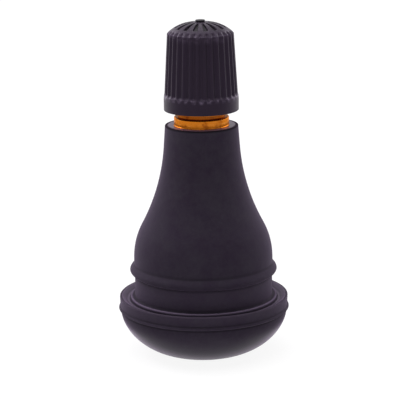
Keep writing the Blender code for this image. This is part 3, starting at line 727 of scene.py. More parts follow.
@dataclass(frozen=True)
class DrawnSteel(Finish):
    """Drawn spring steel wire. The die leaves it bright, with faint dull patches from the coiling."""

    name: str = "drawn_spring_steel"
    bright: str = "#B9BABD"
    dull: str = "#8D8E92"
    patches_mm: float = 0.5
    roughness: float = 0.28
    roughness_swing: float = 0.14

    def inputs(self, nodes: Nodes, place: bpy.types.NodeSocket) -> dict[str, Any]:
        """Dull patches in the colour and roughness of bright wire.

        Args:
            nodes: the material's tree.
            place: the output that holds each point's place on the object.

        Returns:
            What the shader takes.
        """
        patches = nodes.add("TexNoise", {
            "Vector": place, "Scale": per_metre(self.patches_mm), "Detail": 3.0})
        colour = nodes.add("Mix", {
            0: patches.outputs[0], 6: linear(self.bright), 7: linear(self.dull)}, data_type="RGBA")
        rough = nodes.add("MapRange", {
            "Value": patches.outputs[0], **swing(self.roughness, self.roughness_swing)})
        return {"Base Color": colour.outputs[2], "Roughness": rough.outputs[0], "Metallic": 1.0}


@dataclass(frozen=True)
class Shank:
    """The barbed end of the stem and the collar above it, which the rubber grips. Grown by the bond's gap,
    the same corners make the socket in the rubber."""

    bottom: float
    radius: float = 3.3 * MM
    barb_radius: float = 3.62 * MM
    barb_count: int = 3
    barb_pitch: float = 2.6 * MM
    barb_height: float = 1.2 * MM
    collar_radius: float = 3.66 * MM
    collar_bottom: float = 29.6 * MM

    def corners(self, grown: float) -> list[Corner]:
        """Corners from the collar's lower edge down to the shank's end.

        Args:
            grown: how much larger than the brass.

        Returns:
            The corners, in order down the outside.
        """
        plain = self.radius + grown
        made = [Corner(self.collar_radius + grown, self.collar_bottom - grown),
                Corner(plain, self.collar_bottom - grown)]
        for index in range(self.barb_count, 0, -1):
            under = self.bottom + index * self.barb_pitch
            made += [Corner(plain, under + self.barb_height),
                     Corner(self.barb_radius + grown, under - grown), Corner(plain, under - grown)]
        return made + [Corner(plain, self.bottom - grown)]


@dataclass
class RubberBody:
    """The moulded rubber body: a rounded base, the seating flange with its moulding line, the low step and
    the neck, the retaining ridge, the bulge, and a hollow waist up to the rim round the stem."""

    rubber: bpy.types.Material
    shank: Shank
    top: float = top_of("rubber_body")
    bond_gap: float = 0.05 * MM
    passage_radius: float = 1.5 * MM
    base_bore_radius: float = 2.2 * MM
    base_bore_height: float = 0.7 * MM
    base_flat_radius: float = 4.0 * MM
    bowl_radius: float = 11.23 * MM
    bowl_height: float = 6.0 * MM
    bowl_fullness: float = 1.81
    bead_radius: float = 11.54 * MM
    bead_height: float = 6.2 * MM
    flange_waist: float = 11.31 * MM    # between the moulding line and the flange's edge
    flange_waist_height: float = 6.48 * MM
    flange_radius: float = 11.37 * MM
    flange_top: float = 7.87 * MM
    flange_round: float = 0.18 * MM
    lip_radius: float = 11.07 * MM      # inner edge of the sealing lip round the flange
    seat_height: float = 7.42 * MM
    seat_radius: float = 10.42 * MM     # where the flat seat ends and the slope up to the lip starts
    step_radius: float = 9.92 * MM
    step_top: float = 7.84 * MM
    step_draft: float = 0.085 * MM
    neck_radius: float = 9.27 * MM
    neck_foot_round: float = 0.3 * MM
    ridge_radius: float = 9.9 * MM
    ridge_height: float = 11.5 * MM
    ridge_above: float = 0.88 * MM      # how far the ridge runs out above its middle
    ridge_below: float = 0.68 * MM      # and below it, where it is steeper
    ridge_power: float = 1.2            # above 1, so that the ridge runs out into the bulge
    underside_power: float = 0.8        # below 1, so that it meets the neck in a corner
    bulge_radius: float = 9.34 * MM
    bulge_height: float = 13.1 * MM
    shoulder_share: float = 0.267
    taper_length: float = 2.8 * MM
    taper: float = math.radians(4.05)
    rim_radius: float = 4.88 * MM
    rim_round: float = 0.1 * MM
    fine: float = 0.06 * MM
    columns: int = 160
    rim_steps: int = 6
    waist_steps: int = 34
    shoulder_steps: int = 22
    ridge_steps: int = 32
    bowl_steps: int = 48
    gap: float = 0.2 * MM
    edge_reach: float = 0.16 * MM
    # shares of painted highlight, painted light and painted shade on the skin, and of polish
    step_painted_highlight: float = 0.85
    step_highlight_reach: float = 0.1 * MM   # above and below the step's top
    lip_shade: float = 0.8
    rim_shade_reach: float = 0.45 * MM
    neck_painted_light: float = 0.09
    seat_painted_light: float = 0.36
    seat_shine: float = 0.5
    rim_shine: float = 1.0
    band_painted_light: float = 0.06            # painted light at the top of the flange's edge, which fades out downwards
    shine_top: float = 5.6 * MM         # the rounded base is matt above this height
    shine_full: float = 3.6 * MM        # and polished below this one

    def wall_radii(self, slope: float) -> tuple[float, float]:
        """Radii of the two arcs that fill the wall's height.

        Args:
            slope: the wall's steepest slope.

        Returns:
            The shoulder's radius and the waist's.
        """
        height = self.top - self.bulge_height - self.taper_length
        together = height / (math.sin(slope) - (1.0 - self.shoulder_share) * math.sin(self.taper))
        return together * self.shoulder_share, together * (1.0 - self.shoulder_share)

    def wall_reach(self, slope: float) -> float:
        """How far the wall comes in from the bulge to the rim.

        Args:
            slope: the wall's steepest slope.

        Returns:
            The distance across.
        """
        shoulder, waist = self.wall_radii(slope)
        curved = shoulder * (1.0 - math.cos(slope)) + waist * (math.cos(self.taper) - math.cos(slope))
        return curved + self.taper_length * math.tan(self.taper)

    def steepest_slope(self) -> float:
        """The steepest slope with which the wall meets the rim, found by halving.

        Returns:
            The slope, in radians from upright.
        """
        low, high = 1.5 * self.taper, math.radians(80.0)
        for _ in range(HALVINGS):
            middle = 0.5 * (low + high)
            if self.wall_reach(middle) < self.bulge_radius - self.rim_radius:
                low = middle
            else:
                high = middle
        return low

    def wall(self) -> Array:
        """The wall from the rim down to the bulge.

        Formula: a round on the rim, a straight taper, an arc hollow to the outside and an arc round to the
        outside, which share one tangent at the steepest slope.

        Returns:
            Rows of (radius, height).
        """
        slope = self.steepest_slope()
        shoulder_size, waist_size = self.wall_radii(slope)
        shoulder = arc((self.bulge_radius - shoulder_size, self.bulge_height), shoulder_size, slope, 0.0,
                       self.shoulder_steps)
        centre = shoulder[0] + waist_size * np.array([math.cos(slope), math.sin(slope)])
        waist = arc(centre, waist_size, math.pi + self.taper, math.pi + slope, self.waist_steps)
        rim = arc((self.rim_radius - self.rim_round, self.top - self.rim_round), self.rim_round,
                  0.5 * math.pi, self.taper, self.rim_steps)
        return np.vstack([rim, waist, shoulder[1:]])

    def ridge(self) -> Array:
        """The retaining ridge, from the bulge down to the neck.

        Formula: the wall's own radius plus the ridge's rise times a power of cos(a), with a going over a
        quarter turn either side of the ridge's middle. The side above the middle reaches further and has a
        higher power than the side below it, so the upper side is soft and the underside steep.

        Returns:
            Rows of (radius, height).
        """
        across = np.linspace(1.0, -1.0, self.ridge_steps + 1)
        upper = across > 0.0
        ground = np.where(upper, self.bulge_radius, self.neck_radius)
        power = np.where(upper, self.ridge_power, self.underside_power)
        swell = np.cos(0.5 * math.pi * across).clip(0.0) ** power
        reach = np.where(upper, self.ridge_above, self.ridge_below)
        radius = ground + (self.ridge_radius - ground) * swell
        return np.column_stack([radius, self.ridge_height + reach * across])

    def flange(self) -> Array:
        """The foot of the neck, the low step, the flange's seat, its lip and edge, and the moulding line.

        Returns:
            Rows of (radius, height).
        """
        return rounded([
            Corner(self.neck_radius, self.ridge_height - self.ridge_below),
            Corner(self.neck_radius, self.step_top, self.neck_foot_round),
            Corner(self.step_radius - self.step_draft, self.step_top, self.fine),
            Corner(self.step_radius, self.seat_height, self.fine),
            Corner(self.seat_radius, self.seat_height, 4.0 * self.fine),
            Corner(self.lip_radius, self.flange_top, self.fine),
            Corner(self.flange_radius, self.flange_top, self.flange_round),
            Corner(self.flange_waist, self.flange_waist_height, 2.0 * self.fine),
            Corner(self.bead_radius, self.bead_height, self.fine),
            Corner(self.bowl_radius, self.bowl_height, self.fine),
            Corner(*self.bowl()[1]),
        ], Ends.POLES)[:-1]

    def bowl(self) -> Array:
        """The rounded underside, from its rim down to the flat of the base.

        Formula: a superellipse, with the radius going as cos(a) and the height as 1 - sin(a), both to the
        power 2 / fullness.

        Returns:
            Rows of (radius, height).
        """
        angle = np.linspace(0.0, 0.5 * math.pi, self.bowl_steps + 1)
        power = 2.0 / self.bowl_fullness
        across, up = np.cos(angle).clip(0.0) ** power, np.sin(angle) ** power
        radius = self.base_flat_radius + (self.bowl_radius - self.base_flat_radius) * across
        return np.column_stack([radius, self.bowl_height * (1.0 - up)])

    def inside(self) -> Array:
        """The base's bore, the air passage and the socket that grips the stem, up to the rim.

        Returns:
            Rows of (radius, height).
        """
        socket = reversed(self.shank.corners(self.bond_gap))
        return rounded([
            Corner(self.base_flat_radius, 0.0),
            Corner(self.base_bore_radius, 0.0, 2.0 * self.fine),
            Corner(self.passage_radius, self.base_bore_height, 2.0 * self.fine),
            Corner(self.passage_radius, self.shank.bottom - self.bond_gap),
            *socket,
            Corner(self.shank.collar_radius + self.bond_gap, self.top),
        ], Ends.POLES)[1:]

    def skin(self, outline: Array) -> dict[str, Array]:
        """How the skin varies along the outline.

        Formula: a painted highlight comes from the outline's edges and is kept to the low step's top.
        Painted light adds to it, rising on the flange's edge from the moulding line to the lip, and even on
        the seat and the neck. Painted shade comes from the outline's corners, and the lip's top and a ring
        round the rim are painted dark as well. The seat, the lower part of the base and the rest of the
        rim's flat end are polished.

        Args:
            outline: rows of (radius, height).

        Returns:
            Shares of painted light, painted shade and polish, which also carries the painted sheen, one for
            each row.
        """
        radius, height = outline.T
        edges = edges_and_corners(outline, self.edge_reach)
        outer = radius > self.lip_radius
        on_step = (np.abs(height - self.step_top) < self.step_highlight_reach) & (radius > self.neck_radius)
        on_band = outer & (height > self.bead_height)
        on_seat = (radius > self.step_radius) & ~outer
        on_seat &= (height >= self.seat_height) & (height <= self.flange_top)
        on_lip = outer & (height > self.flange_top - 2.0 * self.fine)
        on_neck = (np.abs(radius - self.neck_radius) < self.fine) & (height < self.ridge_height)
        on_neck &= height > self.step_top + self.edge_reach
        on_rim = height > self.top - self.rim_round
        dark_rim = on_rim & (radius > self.rim_radius - self.rim_shade_reach)
        sealing = on_seat | (outer & (height >= self.flange_top - self.fine) & (height <= self.flange_top))
        # painted light: the step's highlight, the flange band, the seat and the neck
        painted_light = (edges["painted_light"] * self.step_painted_highlight * on_step
                + self.band_painted_light * on_band * smoothstep(self.bead_height, self.flange_top, height)
                + self.seat_painted_light * on_seat + self.neck_painted_light * on_neck)
        # painted shade: corners, the rim's outer ring and the lip's top
        shade_and_tarnish = np.maximum(np.where(dark_rim, 1.0, edges["shade_and_tarnish"]), self.lip_shade * on_lip)
        below = 1.0 - smoothstep(self.shine_full, self.shine_top, height)
        below = below * (radius > self.base_flat_radius)
        polish_and_painted_sheen = np.maximum(below, self.seat_shine * sealing + self.rim_shine * (on_rim & ~dark_rim))
        return {"painted_light": painted_light.clip(0.0, 1.0), "shade_and_tarnish": shade_and_tarnish, "polish_and_painted_sheen": polish_and_painted_sheen}

    def build(self) -> None:
        """Makes the rubber body as one turned ring."""
        outline = np.vstack([self.wall(), self.ridge(), self.flange()[1:], self.bowl()[1:], self.inside()])
        outline = spaced(outline, self.gap)
        piece = Piece("body_moulding", "rubber_body", Body.VALVE, Slot.BODY_RUBBER)
        piece.turned(outline, self.columns, Ends.RING, self.rubber, self.skin(outline))


@dataclass
class Stem:
    """The turned brass stem: a threaded end with a chamfered mouth, a relief, a land, a groove and a
    collar that show under the cap, the barbed shank in the rubber, and a stepped bore with the core's own
    thread."""

    brass: bpy.types.Material
    shank: Shank
    thread: Thread
    core_thread: Thread
    body_top: float = top_of("rubber_body")
    top: float = top_of("stem")
    lead_chamfer: float = 0.35 * MM
    mouth_chamfer: float = 0.28 * MM
    thread_bottom: float = 34.4 * MM
    relief_radius: float = 3.4 * MM
    relief_height: float = 34.15 * MM
    land_radius: float = 3.62 * MM
    land_top: float = 33.9 * MM
    land_bottom: float = 32.84 * MM
    groove_radius: float = 3.16 * MM
    groove_bottom: float = 32.36 * MM
    collar_chamfer: float = 0.1 * MM
    foot_reach: float = 0.05 * MM       # the small fillet where the collar meets the rubber
    foot_rise: float = 0.09 * MM
    cone_top: float = 35.6 * MM
    cone_top_radius: float = 2.42 * MM
    cone_bottom: float = 33.3 * MM
    cone_bottom_radius: float = 1.952 * MM
    bore_radius: float = 1.852 * MM
    bore_top: float = 33.0 * MM
    core_thread_bottom: float = 35.9 * MM
    core_thread_start: float = 36.5 * MM    # plain below this, where the gasket passes as the core comes out
    fine: float = 0.04 * MM
    columns: int = 144
    gap: float = 0.12 * MM
    edge_reach: float = 0.12 * MM
    # the cap's painted shadow on the land and relief, and tarnish with painted shade in the groove and the
    # threads' roots
    land_cap_shadow: float = 0.35
    groove_tarnish_and_shade: float = 0.7
    thread_tarnish_and_shade: float = 0.5

    def below_the_thread(self) -> Array:
        """The outside from the relief down to the shank's end and in to the bore.

        Returns:
            Rows of (radius, height).
        """
        collar = self.shank.collar_radius
        corners = [
            Corner(self.relief_radius, self.relief_height, self.fine),
            Corner(self.land_radius, self.land_top, self.fine),
            Corner(self.land_radius, self.land_bottom, self.fine),
            Corner(self.groove_radius, self.land_bottom, self.fine),
            Corner(self.groove_radius, self.groove_bottom, self.fine),
            Corner(collar - self.collar_chamfer, self.groove_bottom, self.fine),
            Corner(collar, self.groove_bottom - self.collar_chamfer, self.fine),
            Corner(collar, self.body_top + self.foot_rise, self.fine),
            Corner(collar + self.foot_reach, self.body_top + self.fine, 0.5 * self.fine),
            Corner(collar + self.foot_reach, self.body_top + 0.5 * self.fine),
            Corner(collar, self.body_top + 0.5 * self.fine),
            *self.shank.corners(0.0),
            Corner(self.bore_radius, self.shank.bottom),
        ]
        return rounded(corners, Ends.POLES)

    def bore(self) -> Array:
        """The bore from the stem's end up through the cone to the foot of the core's thread.

        Returns:
            Rows of (radius, height).
        """
        return rounded([
            Corner(self.bore_radius, self.shank.bottom),
            Corner(self.bore_radius, self.bore_top),
            Corner(self.cone_bottom_radius, self.cone_bottom),
            Corner(self.cone_top_radius, self.cone_top),
            Corner(self.core_thread.crest, self.core_thread_bottom),
        ], Ends.POLES)

    def darkening(self, outline: Array) -> Array:
        """How dark each row is: tarnish with painted shade in the outside's corners and in its groove, and
        the cap's painted shadow on its land and relief.

        Args:
            outline: rows of (radius, height).

        Returns:
            Shares from 0 to 1.
        """
        radius, height = outline.T
        corners = edges_and_corners(outline, self.edge_reach, Ends.POLES)["shade_and_tarnish"]
        # painted shadow of the cap on the land and relief
        land = self.land_cap_shadow * (height >= self.land_bottom - self.fine)
        in_groove = (height < self.land_bottom) & (height >= self.groove_bottom)
        groove = self.groove_tarnish_and_shade * (in_groove & (radius < self.land_radius - self.fine))
        return (radius > self.cone_top_radius) * np.maximum.reduce([corners, land, groove])

    def build(self) -> None:
        """Makes the stem as one ring, with both threads cut in it.

        Formula: the outer thread takes the lesser of the turned bar and the thread at each point, so it
        runs out through the lead chamfer and into the relief. The inner thread stands in its bore. Both
        are darkened in step with the depth of their grooves, partly as tarnish and partly as painted shade.
        """
        angle = angles(self.columns)
        high = self.thread.rows(self.relief_height, self.top)[::-1]
        crest, inner_crest = self.thread.crest, self.core_thread.crest
        lead = self.top - self.lead_chamfer
        bar = np.interp(high, [self.relief_height, self.thread_bottom, lead, self.top],
                        [self.relief_radius, crest, crest, crest - self.lead_chamfer])
        plain = spaced(np.vstack([self.below_the_thread()[1:], self.bore()[1:-1]]), self.gap, Ends.POLES)
        deep = self.core_thread.rows(self.core_thread_bottom, self.top)
        mouth = self.top - self.mouth_chamfer
        hole = np.interp(deep, [self.core_thread_bottom, mouth, self.top],
                         [inner_crest, inner_crest, inner_crest + self.mouth_chamfer])
        wide = (len(plain), self.columns)
        radius = np.vstack([
            self.thread.outside(bar, high, angle),
            np.broadcast_to(plain[:, :1], wide),
            self.core_thread.inside(hole, deep, angle, self.core_thread_start, mouth),
        ])
        height = np.concatenate([high, plain[:, 1], deep])
        shares = {"shade_and_tarnish": np.vstack([
            self.thread_tarnish_and_shade * self.thread.groove(high[:, None], angle[None]),
            np.broadcast_to(self.darkening(plain)[:, None], wide),
            self.thread_tarnish_and_shade * (1.0 - self.core_thread.groove(deep[:, None], angle[None])),
        ])}
        mesh = grid_mesh("stem_turning", round_grid(radius, height, angle), Ends.RING, shares)
        Piece("stem_turning", "stem", Body.VALVE, Slot.STEM_BRASS).placed(mesh, self.brass)


@dataclass
class ValveCap:
    """The fluted cap: a nub on a shallow dome with rays, straight flutes that run out over a plain ring,
    and inside a thread that fits the stem and a pocket for the seal."""

    plastic: bpy.types.Material
    thread: Thread
    bottom: float = bottom_of("valve_cap")
    running_gap: float = 0.08 * MM
    nub_radius: float = 0.66 * MM
    nub_rise: float = 0.27 * MM
    nub_round: float = 0.12 * MM
    dome_rise: float = 1.48 * MM
    dome_power: float = 2.8
    shoulder_radius: float = 4.4 * MM
    shoulder_height: float = 43.45 * MM
    shoulder_round: float = 0.1 * MM
    foot_radius: float = 4.85 * MM
    ring_radius: float = 4.98 * MM
    ring_break: float = 0.03 * MM
    ring_top: float = 35.07 * MM
    ring_slope: float = 0.4 * MM
    ring_round: float = 0.1 * MM
    flute_count: int = 30
    flute_depth: float = 0.26 * MM
    flute_run_out: float = 0.55 * MM
    flute_start: float = 3.75 * MM      # radius on the dome where the flutes begin to show
    ray_count: int = 15
    ray_depth: float = 0.3 * MM
    ray_start: float = 1.01 * MM
    ray_end: float = 3.5 * MM
    ray_run_out: float = 0.35 * MM
    ray_steepness: float = 1.7          # above 1, the rays have flat floors and steep sides
    mouth_chamfer: float = 0.4 * MM
    pocket_radius: float = 3.68 * MM
    pocket_bottom: float = 42.55 * MM
    ceiling: float = 43.1 * MM
    thread_low: float = 35.2 * MM
    thread_high: float = 41.4 * MM
    columns_per_flute: int = 12
    dome_steps: int = 45
    run_out_steps: int = 14
    side_gap: float = 1.0 * MM
    ring_gap: float = 0.3 * MM
    roof_gap: float = 0.6 * MM
    edge_reach: float = 0.14 * MM
    # painted highlights on the shoulder's edge and along the ring's top, and painted light on the dome
    shoulder_highlight: float = 0.5
    ring_highlight: float = 0.65
    ring_highlight_on_ribs: float = 0.3      # share of it that is left between the flutes
    ring_smile: float = 0.22 * MM       # how far the painted highlight line rises beside each flute's end
    dome_painted_light: float = 0.08

    def dome_height(self, radius: Array) -> Array:
        """Height of the dome at a radius: the rise times 1 less a power of it, above the shoulder."""
        share = (radius / self.shoulder_radius) ** self.dome_power
        return self.shoulder_height + self.dome_rise * (1.0 - share)

    def crown(self) -> tuple[Array, Array, Array]:
        """The nub and the dome, from the middle out to the shoulder.

        Returns:
            Rows of (radius, height), the share of the flutes' depth and the share of the rays' depth.
        """
        peak = float(self.dome_height(np.zeros(1))[0]) + self.nub_rise
        nub = rounded([Corner(0.0, peak), Corner(self.nub_radius, peak, self.nub_round),
                       Corner(self.nub_radius, peak - self.nub_rise)], Ends.POLES)
        edge = self.shoulder_radius - self.shoulder_round
        out = np.linspace(self.nub_radius, edge, self.dome_steps + 1)
        dome = np.column_stack([out, self.dome_height(out)])
        flute = smoothstep(self.flute_start, edge, out)
        ray = smoothstep(self.ray_start, self.ray_start + self.ray_run_out, out)
        ray = ray * (1.0 - smoothstep(self.ray_end - self.ray_run_out, self.ray_end, out))
        none = np.zeros(len(nub))
        return np.vstack([nub, dome]), np.concatenate([none, flute]), np.concatenate([none, ray])

    def side(self) -> tuple[Array, Array]:
        """The fluted side, the ring and the lower edge, from the shoulder down.

        Returns:
            Rows of (radius, height) and the share of the flutes' depth.
        """
        run_out = self.ring_top + self.flute_run_out
        lip = float(self.dome_height(np.array([self.shoulder_radius - self.shoulder_round]))[0])
        edge = rounded([
            Corner(self.shoulder_radius - self.shoulder_round, lip),
            Corner(self.shoulder_radius, lip - self.shoulder_round, self.shoulder_round),
            Corner(self.foot_radius, run_out),
        ], Ends.POLES)[1:]
        straight = spaced(edge, self.side_gap, Ends.POLES)
        down = np.linspace(run_out, self.ring_top, self.run_out_steps + 1)[1:]
        drop = smoothstep(self.ring_top, run_out, down)
        inset = self.ring_radius - self.ring_break
        foot = np.column_stack([inset - (inset - self.foot_radius) * drop, down])
        ring = rounded([
            Corner(inset, self.ring_top),
            Corner(self.ring_radius, self.ring_top - self.ring_slope, self.ring_round),
            Corner(self.ring_radius, self.bottom, self.ring_round),
            Corner(self.thread.crest + self.running_gap + self.mouth_chamfer, self.bottom),
        ], Ends.POLES)[1:]
        ring = spaced(ring, self.ring_gap, Ends.POLES)
        share = np.concatenate([np.ones(len(straight)), drop, np.zeros(len(ring))])
        return np.vstack([straight, foot, ring]), share

    def painted_light(self, outline: Array, on_nub: Array, wave: Array) -> Array:
        """Where painted light makes the outside pale.

        Formula: a painted highlight on the shoulder's edge, faint painted light on the dome, and a painted
        highlight line where the ring starts. The line fades with e to the power of minus its distance
        squared, and it rises beside each flute's end.

        Args:
            outline: rows of (radius, height).
            on_nub: whether each row is on the nub, which stays dark.
            wave: depth of the flutes at each column, from 0 to 1.

        Returns:
            Shares from 0 to 1, rows by columns.
        """
        height = outline[:, 1]
        upper = (height > 0.5 * (self.ring_top + self.shoulder_height)) & ~on_nub
        edges = self.shoulder_highlight * edges_and_corners(outline, self.edge_reach, Ends.POLES)["painted_light"]
        edges = upper * (edges + self.dome_painted_light * (height > self.shoulder_height))
        away = (height[:, None] - self.ring_top - self.ring_smile * (1.0 - wave)) / self.edge_reach
        least = self.ring_highlight_on_ribs
        line = self.ring_highlight * np.exp(-away ** 2) * (least + (1.0 - least) * wave)
        return (edges[:, None] + line).clip(0.0, 1.0)

    def build(self) -> None:
        """Makes the cap as one closed surface, from the nub down the outside and up the threaded bore.

        Formula: at angle a the flutes take their depth times (1 - cos(flutes times a)) / 2 off the radius,
        and the rays take their depth times cos(rays times a), steepened and eased between 0 and 1, off the
        height. Each ray is in line with a groove. The rays' recesses get painted shade, and the nub is
        darkened all over.
        """
        angle = angles(self.flute_count * self.columns_per_flute)
        wave = 0.5 - 0.5 * np.cos(self.flute_count * angle)
        first_ray = -0.5 * math.tau / self.flute_count
        ray_wave = smoothstep(0.0, 1.0, self.ray_steepness * np.cos(self.ray_count * (angle - first_ray)))
        crown, crown_flute, crown_ray = self.crown()
        side, side_flute = self.side()
        outer = np.vstack([crown, side])
        flute = np.concatenate([crown_flute, side_flute])
        ray = np.concatenate([crown_ray, np.zeros(len(side))])
        bore = self.thread.crest + self.running_gap
        mouth = self.bottom + self.mouth_chamfer
        up = self.thread.rows(mouth, self.pocket_bottom - (bore - self.pocket_radius))
        roof = spaced(np.array([
            (self.pocket_radius, self.pocket_bottom),
            (self.pocket_radius, self.ceiling),
            (0.0, self.ceiling),
        ]), self.roof_gap, Ends.POLES)
        radius = np.vstack([
            outer[:, :1] - self.flute_depth * flute[:, None] * wave,
            self.thread.inside(np.full(len(up), bore), up, angle, self.thread_low, self.thread_high),
            np.broadcast_to(roof[:, :1], (len(roof), len(angle))),
        ])
        height = np.vstack([
            outer[:, 1:] - self.ray_depth * ray[:, None] * ray_wave,
            np.broadcast_to(up[:, None], (len(up), len(angle))),
            np.broadcast_to(roof[:, 1:], (len(roof), len(angle))),
        ])
        on_nub = (outer[:, 0] <= self.nub_radius) & (outer[:, 1] > self.shoulder_height)
        # painted shade in the rays' recesses; the nub is darkened all over
        shade_and_tarnish = (ray[:, None] * ray_wave + on_nub[:, None]).clip(0.0, 1.0)
        inside = np.zeros((len(up) + len(roof), len(angle)))
        shares = {"painted_light": np.vstack([self.painted_light(outer, on_nub, wave), inside]),
                  "shade_and_tarnish": np.vstack([shade_and_tarnish, inside])}
        mesh = grid_mesh("cap_moulding", round_grid(radius, height, angle), Ends.POLES, shares)
        Piece("cap_moulding", "valve_cap", Body.CAP, Slot.CAP_PLASTIC).placed(mesh, self.plastic)


@dataclass
class CapSeal:
    """The flat rubber ring in the cap, over the stem's mouth."""

    rubber: bpy.types.Material
    bottom: float = bottom_of("cap_seal")
    top: float = top_of("cap_seal")
    radius: float = 3.6 * MM
    hole_radius: float = 1.6 * MM
    edge: float = 0.06 * MM
    columns: int = 96
    gap: float = 0.3 * MM

    def build(self) -> None:
        """Makes the ring, with its edges rounded."""
        outline = rounded([
            Corner(self.hole_radius, self.top, self.edge), Corner(self.radius, self.top, self.edge),
            Corner(self.radius, self.bottom, self.edge), Corner(self.hole_radius, self.bottom, self.edge),
        ])
        piece = Piece("seal_ring", "cap_seal", Body.SEAL, Slot.SEAL_RUBBER)
        piece.turned(spaced(outline, self.gap), self.columns, Ends.RING, self.rubber)


